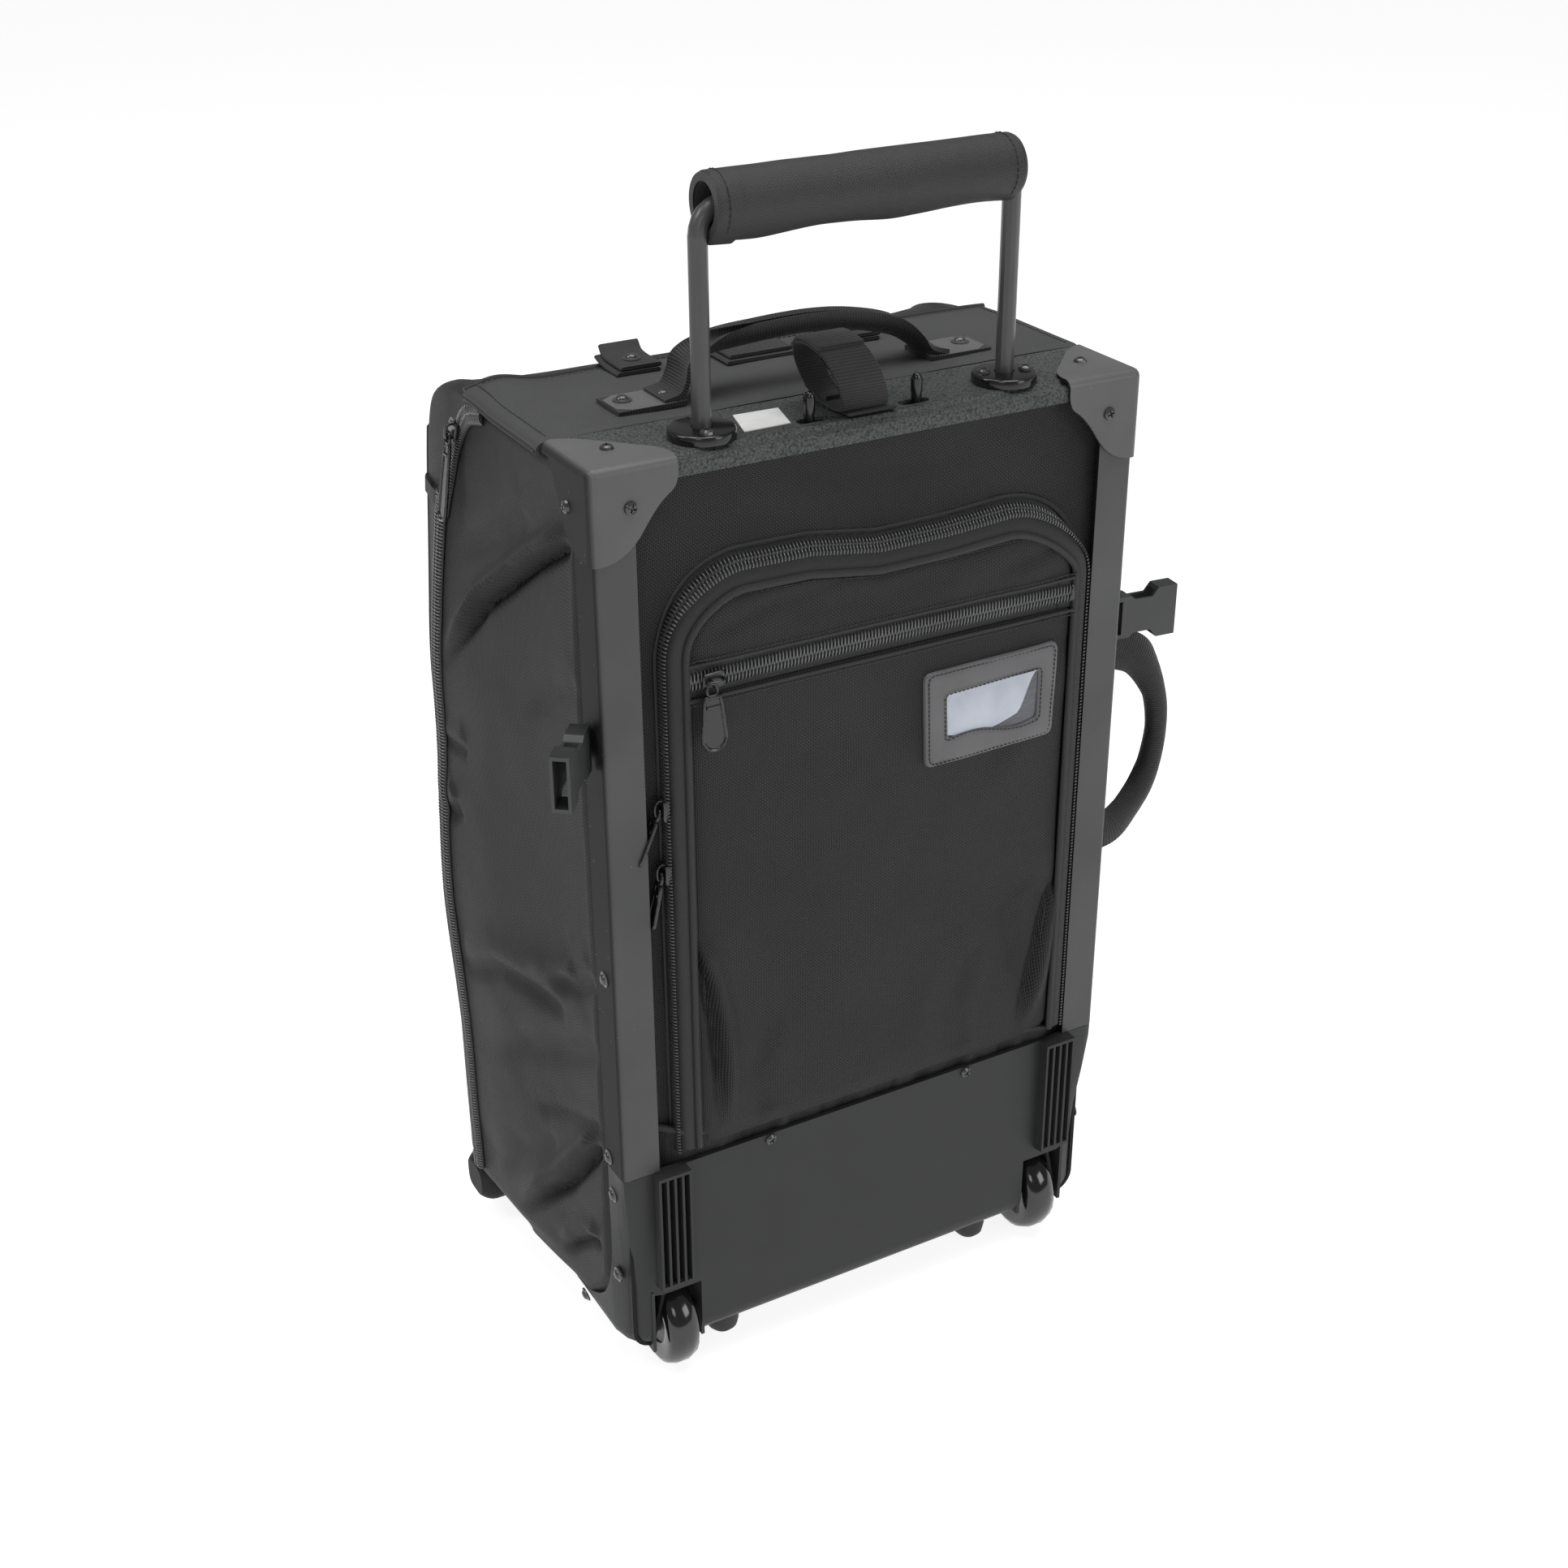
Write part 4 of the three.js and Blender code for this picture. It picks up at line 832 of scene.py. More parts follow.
def make_top_panel():
    reach = 160.5
    x = np.linspace(-156, 156, 105)
    roll = np.linspace(0, math.pi / 2 + 0.5, 8)[1:]
    radius = 4.5
    x_run = np.concatenate([-156 - radius * np.sin(roll)[::-1], x, 156 + radius * np.sin(roll)])
    dip = np.concatenate([radius * (1 - np.cos(roll))[::-1], 0 * x, radius * (1 - np.cos(roll))])
    y = np.linspace(54.5, 147.5, 42)
    y, xs = np.meshgrid(y, x_run, indexing="ij")
    z = top_height(np.clip(xs, -156, 156), y) - dip[None]
    z -= 1.5 * step(y, 145.5, 147.5) + 1.2 * (1 - step(y, 54, 58))
    z -= 0.825 * step(y, 125, 147) * (1 - np.exp(-(xs / 60) ** 2))
    sheet(Pieces(), xyz(xs, y, z), LINED, (0, 0, 1), xs, y).make("top_flap", "twill", "bag_body")
    edge = Pieces()
    for _, side in SIDES:
        ys = np.linspace(56, 146, 46)
        path = xyz(side * (reach - 0.6), ys, top_height(side * 156, ys) - 5.4)
        sweep(edge, path, round_section(1.1, 8), (0, 0, 1))
    xs = np.linspace(-159, 159, 110)
    path = xyz(xs, 147.2, top_height(xs, 146.0 + 0 * xs) - 1.6)
    sweep(edge, path, round_section(1.9, 8), (0, 0, 1))
    edge.make("top_flap_binding", "binding", "bag_body")
    thread = Pieces()
    for _, side in SIDES:
        ys = np.linspace(60, 143, 40)
        stitches(thread, xyz(side * 153.0, ys, top_height(side * 153, ys)), (0, 0, 1))
    xs = np.linspace(-150, 150, 80)
    stitches(thread, xyz(xs, 142.0, top_height(xs, 142.0 + 0 * xs)), (0, 0, 1))
    thread.make("top_flap_stitches", "thread", "bag_body")


def lid_grid():
    """The lid's outer face: rows run from the foot of the front up and over to the top."""
    rows = 150
    both = smooth_path([(*a, *b) for a, b in zip(ZIP_CURVE, RIM_CURVE)], 0.5)
    both = both[np.linspace(0, len(both) - 1, rows).astype(int)]
    radius = 12.0
    skirt = np.linspace(0, 1, 9)[:-1]
    turn = np.linspace(0, math.pi / 2, 9)
    across = np.linspace(-1, 1, 74)[1:-1]
    grid = []
    for zy, zz, ry, rz in both:
        e = np.array([ry - zy, rz - zz])
        length = np.linalg.norm(e)
        e = e / length
        run = {}
        for _, side in SIDES:
            s = skirt * (length - radius)
            y, z = zy + e[0] * s, zz + e[1] * s
            x = side_reach(y, z, side)
            x_end = float(side_reach(np.array([zy + e[0] * (length - radius)]),
                                     np.array([zz + e[1] * (length - radius)]), side)[0])
            arc_x = x_end - radius * (1 - np.cos(turn))
            arc_s = length - radius + radius * np.sin(turn)
            run[side] = (np.concatenate([x, arc_x]), np.concatenate([s, arc_s]))
        half = (run[-1][0][-1], run[1][0][-1])
        middle_x = np.where(across < 0, across * half[0], across * half[1])
        fall = step(ry, 135, 214) ** 1.6 * step(rz, 478, 520)
        hang = 19.0 * fall * (1 - (middle_x / 157) ** 2)
        puff = 2.2 * (1 - (middle_x / 150) ** 2) * (1 - step(rz, 470, 510))
        wave = 1.6 * soft_noise(middle_x, rz * 1.3 + ry, 60, 41) * (1 - (middle_x / 146) ** 8)
        middle_s = length - hang + puff + wave
        xs = np.concatenate([-run[-1][0], middle_x, run[1][0][::-1]])
        ss = np.concatenate([run[-1][1], middle_s, run[1][1][::-1]])
        grid.append(xyz(xs, zy + e[0] * ss, zz + e[1] * ss))
    return np.array(grid), len(skirt)


def make_lid():
    grid, skirt = lid_grid()
    sheet(Pieces(), grid, COVER, (0, 1, 0)).make("lid_cover", "ballistic", "lid", "lid")
    corner = skirt + 4
    turn_row = int(np.argmax(grid[:, corner, 2] > 517))
    left, right = grid[:turn_row, corner], grid[:turn_row, -1 - corner][::-1]
    top = grid[turn_row, corner:-corner]
    path = even_path(np.concatenate([left, top, right]), 3.0)
    sweep(Pieces(), path, round_section(2.3, 8), (0.01, 1, 0.2)).make("lid_piping", "binding", "lid", "lid")
    hem = Pieces()
    bottom = grid[0, 1:-1] + np.array([0, 0, 0.6])
    sweep(hem, even_path(bottom, 4.0), round_section(2.4, 8), (0, 0, 1))
    hem.make("lid_hinge_piping", "binding", "lid", "lid")


def make_front_pocket():
    x = np.linspace(-1, 1, 70)
    z = np.linspace(-1, 1, 90)
    z, x = np.meshgrid(z, x, indexing="ij")
    half_width, half_height, corner = 118.0, 157.0, 26.0
    past_corner = np.clip(np.abs(z) * half_height - half_height + corner, 0, corner)
    reach = half_width - corner + np.sqrt(corner ** 2 - past_corner ** 2)
    xs, zs = x * reach, 236 + z * half_height
    edge = np.minimum((1 - np.abs(x)) * 60, (1 - np.abs(z)) * 70)
    y = 216.2 + 9.5 * (1 - np.exp(-edge / 6)) + 0.9 * soft_noise(xs, zs, 50, 51)
    y -= creases(xs, zs, [([(-100, 120), (-60, 150), (-30, 200)], -1.6, 8, 0.5),
                          ([(104, 330), (60, 300), (20, 310)], -1.6, 9, 0.5)])
    pieces = Pieces()
    grid = xyz(xs, y, zs)
    sheet(pieces, grid, 2.0, (0, 1, 0), xs, zs)
    pieces.make("front_pocket_cover", "ballistic", "front_pocket", "lid")
    ring = np.concatenate([grid[:, 0], grid[-1, 1:], grid[::-1, -1][1:], grid[0, ::-1][1:-1]])
    ring[:, 1] -= 0.6
    ring = even_path(np.concatenate([ring, ring[:1]]), 3.0, True)
    sweep(Pieces(), ring, round_section(2.3, 8), (0, 1, 0), closed=True).make(
        "front_pocket_piping", "binding", "front_pocket", "lid")
    row = 70
    path = grid[row, 3:-3] + np.array([0, 0.7, 0])
    make_zip("front_pocket", path, (0, 1, 0), "lid", "front_pocket", tape=13.0)


def make_zip(name, path, up, body, replaced, tape=12.0, hands=(-1, 1), bodies=None):
    """A coil zip along a path: one tape and two rows of loops, or one row on each of two bodies."""
    path = even_path(path, 2.0)
    ups = spread_rows(up, len(path))
    _, side, _ = frames(path, ups)
    bodies = bodies or {hand: body for hand in hands}
    for hand in hands:
        cloth, row = Pieces(), Pieces()
        lane = path + side * hand * tape / 4
        sweep(cloth, lane, band_section(tape / 4, 0.5), ups)
        coil_row(row, path, ups, hand, 0.35)
        tag = "" if len(set(bodies.values())) == 1 else ("_body" if bodies[hand] == "case" else "_lid")
        tag += "_a" if hand < 0 else "_b"
        cloth.make(f"{name}_tape{tag}", "tape", replaced, bodies[hand])
        row.make(f"{name}_coil{tag}", "coil", replaced, bodies[hand])


def make_lid_zips():
    for name, side in SIDES:
        line = curve_yz(ZIP_CURVE, 260)[2:]
        y, z = line[:, 0], line[:, 1]
        x = side_reach(y, z, side)
        behind, ahead = side_reach(y - 4, z - 1, side), side_reach(y + 4, z + 1, side)
        path = xyz(side * (np.maximum(x, (behind + ahead) / 2) + 0.6), y, z)
        nearer = np.gradient(x, z)
        ups = xyz(float(side), -(ahead - behind) / 8, -nearer)
        hands = {}
        _, across, _ = frames(path, ups)
        for hand in (-1, 1):
            to_lid = (across[10] * hand)[1] > 0
            hands[hand] = "lid" if to_lid else "case"
        make_zip(f"lid_zip_{name}", path, ups, None, "lid", 12.0, bodies=hands)


# ---------------------------------------------------------------- rear pocket
POCKET_X, POCKET_HALF, POCKET_FOOT, POCKET_TOP, POCKET_CORNER = 3.5, 120.5, 160.0, 491.5, 40.0


def sag(x, z):
    """The pocket's top edge droops between its corners."""
    drop = np.interp(x, [-124, -80, -40, 0, 40, 80, 128], [0, 2, 1.5, -4.5, -4, -1.5, -7])
    return drop * step(z, 430, 480)


def arch(offset, count=240, foot=POCKET_FOOT):
    """Path up the left, over and down the right, the given distance outside the pocket's edge."""
    r = POCKET_CORNER + offset
    half = POCKET_HALF + offset
    top = POCKET_TOP + offset
    leg = np.linspace(foot, top - r, 60)[:, None]
    turn = np.linspace(0, math.pi / 2, 24)[1:-1]
    left = np.column_stack([np.full(60, -half), leg])
    corner = np.column_stack([-half + r - r * np.cos(turn), top - r + r * np.sin(turn)])
    level = np.column_stack([np.linspace(-half + r, half - r, 80), np.full(80, top)])
    outline = np.concatenate([left, corner, level, corner[::-1] * (-1, 1), left[::-1] * (-1, 1)])
    outline[:, 0] += POCKET_X
    outline[:, 1] += sag(outline[:, 0], outline[:, 1])
    return even_path(xyz(outline[:, 0], 0, outline[:, 1]), 2.0)


def arch_normals(path):
    tangent = unit(np.gradient(path, axis=0))
    return xyz(-tangent[:, 2], 0, tangent[:, 0])


POCKET_FOLDS = [
    ([(-114, 292), (-105, 264), (-101, 240), (-98, 200), (-99, 166)], 4.2, 3.6, 0.8),
    ([(120, 264), (112, 238), (106, 205), (97, 164)], 4.2, 4.0, 0.8),
    ([(82, 262), (92, 235), (96, 205)], 1.4, 7, 0.5),
    ([(-60, 470), (0, 462), (60, 470)], 1.2, 9, 0.5),
    ([(-105, 462), (-60, 474), (-10, 478)], 1.0, 5, 0.6),
    ([(125, 475), (100, 468), (70, 462)], 1.0, 5, 0.6),
    ([(-70, 166), (-76, 200), (-60, 240)], 1.4, 9, 0.6),
    ([(60, 164), (52, 200), (70, 250)], 1.4, 9, 0.6),
    ([(122, 420), (100, 400), (60, 330)], 0.9, 10, 0.4),
]


def pocket_face(x, z, edge):
    """Depth of the pocket's front: puffed, folded, and drawn in along its edge and the flat zip."""
    y = -1.0 - 2.6 * (1 - np.exp(-edge / 9)) + 2.4 * np.exp(-edge / 2.2)
    y = y - creases(x, z, POCKET_FOLDS, 1.3, 0.85)
    y = y - 1.2 * np.exp(-((x - 112) / 11) ** 2 - ((z - 274) / 16) ** 2)
    y = y + 0.45 * soft_noise(x, z, 50, 61) + 0.16 * soft_noise(x, z, 15, 62)
    return y


def zip_groove(z):
    """1 inside the lane of the flat zip, 0 outside."""
    return step(z, 430.5, 434) * (1 - step(z, 448, 450.5))


def make_pocket():
    inset = 6.0
    crown = POCKET_TOP - inset - 31 * (1 - np.sin(np.linspace(0.1, math.pi / 2, 26)))
    z = np.concatenate([np.linspace(POCKET_FOOT, 428, 118), np.linspace(429, 452, 28),
                        np.linspace(453, 474, 14), crown])
    z = np.unique(np.round(z, 3))
    corner = POCKET_CORNER - inset
    top = POCKET_TOP - inset
    over = np.clip(z - (top - corner), 0, corner)
    half = POCKET_HALF - inset - corner + np.sqrt(np.clip(corner ** 2 - over ** 2, 0, None))
    t = np.linspace(-1, 1, 130)
    t = np.sign(t) * (1 - (1 - np.abs(t)) ** 1.15)
    x = POCKET_X + t[None] * half[:, None]
    zz = np.broadcast_to(z[:, None], x.shape)
    edge = np.minimum((half[:, None] - np.abs(x - POCKET_X)), top - zz + 0.001)
    shown = zz + sag(x, zz) - 3.0 * step(zz, 440, 486)
    x = x + 2.2 * (t[None] + 1)
    y = pocket_face(x, shown, edge)
    lane = zip_groove(shown)
    y = y * (1 - lane) + (0.2 + 0 * y) * lane
    y = y + 2.6 * (1 - step(shown, 160, 168))
    sheet(Pieces(), xyz(x, y, shown), LINED, (0, -1, 0), x, shown).make(
        "pocket_front", "ballistic", "rear_pocket")
    make_arch_zip()


def make_arch_zip():
    """The zip round the pocket, flat on its legs and tipped up over its top, between two pipings."""
    rim = arch(0)
    normals = arch_normals(rim)
    over = step(normals[:, 2], 0.25, 0.95)[:, None]
    back = np.array([0, 1.0, 0])
    right = 4.4 * np.clip(normals[:, :1], 0, 1) * (1 - over)

    def at(leg, top):
        """Points beside the arch: (outwards, forwards) on its legs and on its top."""
        outwards = leg[0] + (top[0] - leg[0]) * over + right * (1 - float(step(leg[1], -1, 5)))
        return rim + normals * outwards + back * (leg[1] + (top[1] - leg[1]) * over)

    piping = Pieces()
    sweep(piping, at((-5.5, -2.2), (-8.8, -1.8)), round_section(2.1, 10, 0.85), (0, -1, 0))
    sweep(piping, at((7.4, 6.6), (10.6, 6.6)), round_section(1.5, 8), (0, -1, 0))
    piping.make("pocket_piping", "binding", "rear_pocket")
    leg = [(-4.5, -1.6), (-1.5, -2.2), (1.8, -1.6), (4.0, 0.6), (4.8, 3.5),
           (5.2, 7.4), (3.6, 7.4), (3.2, 3.5), (1.2, 0.4), (-4.5, 0.6)]
    top = [(-8.0, -1.4), (-4.0, -1.2), (-0.8, 0.1), (2.8, 2.3), (5.6, 4.2),
           (9.8, 7.2), (9.0, 8.2), (4.6, 5.2), (0.2, 2.4), (-8.0, 0.4)]
    rings = np.stack([at(a, b) for a, b in zip(leg, top)], 1)
    loft(Pieces(), rings).make("pocket_zip_tape", "tape", "pocket_zipper")
    slope = unit(normals * (1.0 - 0.12 * over) + back * (0.12 - 0.72 * over))
    lane = at((4.9, 2.6), (3.9, 2.6))
    for tag, hand in (("a", -1), ("b", 1)):
        row = Pieces()
        coil_row(row, lane, slope, hand, 0.2)
        row.make(f"pocket_coil_{tag}", "coil", "pocket_zipper")
    seam = rim - normals * 11.6 + back * pocket_face(rim[:, 0], rim[:, 2], 3.2)[:, None]
    stitches(Pieces(), seam, (0, -1, 0)).make(
        "pocket_stitches", "thread", "rear_pocket")


def make_flat_zip():
    x = np.linspace(-111, 121.5, 119)
    path = xyz(x, -0.9, 441.0 - 1.2 * ((x - 7) / 118) ** 2 + 1.2)
    make_zip("flat_zip", path, (0, -1, 0), "case", "flat_zipper", tape=17.0)
    bead = Pieces()
    for z, radius in ((450.2, 1.0), (431.2, 1.0)):
        y = pocket_face(x, z + 0 * x, 30) + 0.35
        sweep(bead, xyz(x, y, z), round_section(radius, 6, 0.8), (0, -1, 0))
    bead.make("flat_zip_fold", "binding", "rear_pocket")
    thread = Pieces()
    for z in (452.6, 429.0):
        y = pocket_face(x, z + 0 * x, 30)
        stitches(thread, xyz(x, y, z), (0, -1, 0))
    thread.make("flat_zip_stitches", "thread", "rear_pocket")
    stop = Pieces()
    for x_end in (-111, 121):
        points, faces = turned([(0, 0), (3.0, 0), (3.0, 1.6), (2.2, 2.4), (0, 2.4)], 10)
        stop.add(laid(points * (0.55, 1.7, 1), (1, 0, 0), (0, 0, 1), (0, -1, 0), (x_end, -1.2, 441)), faces)
    stop.make("flat_zip_stops", "zinc", "flat_zipper")


def make_foot_strip():
    """Crinkled fabric under the pocket, with a piped seam above it."""
    x = np.linspace(-136, 136, 190)
    t = np.linspace(0, 1, 9)
    seam = np.interp(x, [-136, -128, -110, -80, -20, 40, 110, 126, 136],
                     [178, 175, 168, 165, 167, 165, 163, 157, 156])
    pleat = 1.1 * soft_noise(x, 0 * x, 7, 71) + 0.6 * soft_noise(x, 0 * x, 3.4, 72)
    z = 147.0 + t[:, None] * (seam[None] - 147.0)
    y = 1.2 + pleat[None] * np.sin(t[:, None] * math.pi) ** 0.5 + 3.2 * (1 - t[:, None]) ** 2
    y = y + 4.0 * step(np.abs(x), 124, 134)[None]
    sheet(Pieces(), xyz(x, y, z), 1.5, (0, -1, 0)).make("foot_strip", "ballistic", "rear_pocket")
    bead = Pieces()
    path = xyz(x, np.interp(np.abs(x), [0, 118, 134], [0.4, 0.4, 5.0]), seam)
    sweep(bead, smooth_path(path[::6], 2.5), round_section(2.0, 8), (0, -1, 0))
    bead.make("foot_strip_piping", "binding", "rear_pocket")


# ---------------------------------------------------------------- sliders and pulls
def slider_body():
    """Slider lying along +Y, +Z away from the cloth: waisted body, flanges and an arched bail."""
    pieces = Pieces()
    half = [(2.0, -6.4), (3.6, -5.6), (4.3, -1.0), (4.6, 3.2), (4.0, 5.6), (1.4, 5.0)]
    mirrored = [(-x, y) for x, y in half[::-1]]
    outline = mirrored[-2:] + half + [(0, 3.6)] + mirrored[:-2]
    plate(pieces, outline, 1.6, 3.1, 0.7)
    plate(pieces, [(x * 0.8, y * 0.9) for x, y in outline], 0.0, 1.7)
    bail = [(0, -4.6, 2.2), (0, -4.6, 4.4), (0, -2.6, 6.2), (0, 2.6, 6.2), (0, 4.4, 4.6), (0, 4.6, 2.2)]
    sweep(pieces, smooth_path(bail, 1.0), round_section(0.95, 8), (1, 0, 0))
    return pieces


def pull_body(length, wide, narrow):
    """Pull hanging along -Y from the bail: an eye ring, then a tapered plate with a raised rim."""
    pieces = Pieces()
    turn = np.linspace(0, 2 * math.pi, 17)[:-1]
    ring = xyz(2.9 * np.sin(turn), -3.0 + 3.6 * np.cos(turn), 4.4)
    sweep(pieces, ring, round_section(0.85, 8), (0, 0, 1), closed=True)
    top, foot = -7.0, -length
    r = wide / 2
    curve = np.linspace(0, math.pi, 13)
    lower = [(r * math.cos(a), foot + r - r * math.sin(a)) for a in curve]
    n = narrow / 2
    outline = [(-n, top - 1.5), (-n + 1.5, top), (n - 1.5, top), (n, top - 1.5)] + lower
    plate(pieces, np.array(outline) * (0.86, 1), 4.15, 4.65)
    rim = smooth_path([(x * 0.93, y, 4.4) for x, y in outline], 1.2, closed=True)
    sweep(pieces, rim, round_section(1.05, 8), (0, 0, 1), closed=True)
    neck = [(-2.2, top - 1), (2.2, top - 1), (2.0, top + 2.2), (-2.0, top + 2.2)]
    plate(pieces, neck, 3.6, 5.2, 0.4)
    crossbar = [(-n + 1, top - 4.2), (n - 1, top - 4.2), (n - 1, top - 5.6), (-n + 1, top - 5.6)]
    plate(pieces, crossbar, 4.6, 5.5, 0.3)
    return pieces


def put(pieces, node, across, along, out, at, spin=None):
    """A copy of the pieces in place of a CAD slider or pull, laid along three directions at a place."""
    moved = Pieces()
    moved.faces, moved.count, moved.cloth = pieces.faces, pieces.count, pieces.cloth
    points = np.concatenate(pieces.points)
    moved.points = [laid(points if spin is None else spin(points), across, along, out, at)]
    moved.make(f"{node}_look", "zinc", node, node, crease=45)


def tip_forward(pivot_z, degrees):
    """Turns pull points about their eye, so that the tip leaves the cloth."""
    c, s = math.cos(math.radians(degrees)), math.sin(math.radians(degrees))

    def turn(points):
        y, z = points[:, 1], points[:, 2] - pivot_z
        return xyz(points[:, 0], y * c + z * s, pivot_z - y * s + z * c)
    return turn


def make_pulls():
    zip_x = POCKET_X - POCKET_HALF - 4.05
    rest = slider_body()
    up = (0, 0, 1)
    west = unit(np.array([-0.98, 0.12, 0]))
    cross = unit(np.array([-0.12, -0.98, 0]))
    for name, z, lean in (("pocket_upper", 373, 24), ("pocket_lower", 336, 12)):
        at = (zip_x - 1.6, 1.4, z)
        put(rest, f"{name}_slider", cross, up, west, at)
        put(pull_body(32, 9.0, 7.0), f"{name}_pull", cross, up, west, at, tip_forward(4.4, lean))
    rear, right = (0, -1, 0), (1, 0, 0)
    put(rest, "flat_slider", (0, 0, -1), right, rear, (-97.4, -2.6, 441.6))
    put(pull_body(35, 13.6, 9.6), "flat_pull", right, up, rear, (-100.2, -3.0, 440.4), tip_forward(4.4, 4))
    down = unit(np.array([0, -0.35, 0.93]))
    out = np.array([-1.0, 0, 0])
    put(rest, "lid_slider", np.cross(down, out), down, out, (-160.4, 158.4, 533))
    put(pull_body(47, 9.4, 7.0), "lid_pull", rear, up, out, (-160.6, 158.6, 532), tip_forward(4.4, 9))


# ---------------------------------------------------------------- ID holder
def make_holder():
    face = -4.6
    outer = np.array([(26, 415), (112, 416), (110, 361), (28, 359)], float)
    inner = np.array([(41, 400), (99, 402), (99, 374), (42, 374)], float)
    border = Pieces()

    def rounded(corners, radius, count=6):
        points = []
        for k in range(4):
            here, before, after = corners[k], corners[k - 1], corners[(k + 1) % 4]
            a, b = here + unit(before - here) * radius, here + unit(after - here) * radius
            for t in np.linspace(0, 1, count):
                points.append((1 - t) ** 2 * a + 2 * t * (1 - t) * here + t * t * b)
        closed = np.array(points + points[:1])
        along = arc_lengths(closed, 0)
        at = np.linspace(0, along[-1], 97)[:-1]
        return np.column_stack([np.interp(at, along, closed[:, k]) for k in range(2)])

    outline, window = rounded(outer, 4.5), rounded(inner, 2.5)
    window[:, 1] += np.where(window[:, 1] < 380, 2.4 * np.sin((window[:, 0] - 42) / 9.5), 0)
    steps = [(0.0, 1.4), (0.02, -0.6), (0.06, -1.1), (0.35, -1.3), (0.75, -1.5), (0.95, -1.2), (1.0, -0.4),
             (1.0, 1.4)]
    rings = []
    for blend, lift in steps:
        ring = outline * (1 - blend) + window * blend
        wave = 0.5 * soft_noise(ring[:, 0], ring[:, 1], 18, 81)
        rings.append(xyz(ring[:, 0], face + lift + wave, ring[:, 1]))
    grid = np.array(rings)
    rows, columns = grid.shape[:2]
    border.add(grid.reshape(-1, 3), grid_quads(rows, columns, wrap_rows=True, wrap_columns=True))
    border.make("id_holder_border", "vinyl", "id_holder")
    film = Pieces()
    t = np.linspace(-1, 1, 30)
    s = np.linspace(-1, 1, 20)
    s, t = np.meshgrid(s, t, indexing="ij")
    x, z = 70.5 + 30.5 * t, 387.5 + 15.6 * s
    y = face - 0.15 + 0.3 * soft_noise(x, z * 1.6, 16, 83) + 0.15 * np.sin((x + z) / 9)
    sheet(film, xyz(x, y, z), 0.5, (0, -1, 0))
    # A pale bluish card under the film, its lower edge uneven: painted reflection, standing in for the light
    # the clear film reflects
    reflection_card = Pieces()
    foot = 377.5 + 4.5 * np.sin((x + 6) / 14) + 20 * step(x, 86, 99)
    zc = foot + (401.5 - foot) * (s + 1) / 2
    sheet(reflection_card, xyz(x, y - 0.5 + 0.2 * soft_noise(x, zc, 12, 84), zc), 0.3, (0, -1, 0))
    reflection_card.make("id_holder_reflection_card", "reflection_card", "id_window")
    film.make("id_holder_film", "window", "id_window")
    thread = Pieces()
    inset = outline + (outline.mean(0) - outline) * 0.055
    path = xyz(inset[:, 0], face - 1.2, inset[:, 1])
    stitches(thread, np.concatenate([path, path[:1]]), (0, -1, 0), pitch=2.6, length=1.7)
    edge = window + (window.mean(0) - window) * -0.07
    path = xyz(edge[:, 0], face - 1.45, edge[:, 1])
    stitches(thread, np.concatenate([path, path[:1]]), (0, -1, 0), pitch=2.6, length=1.7)
    thread.make("id_holder_stitches", "thread", "id_holder", slot="holder_vinyl")


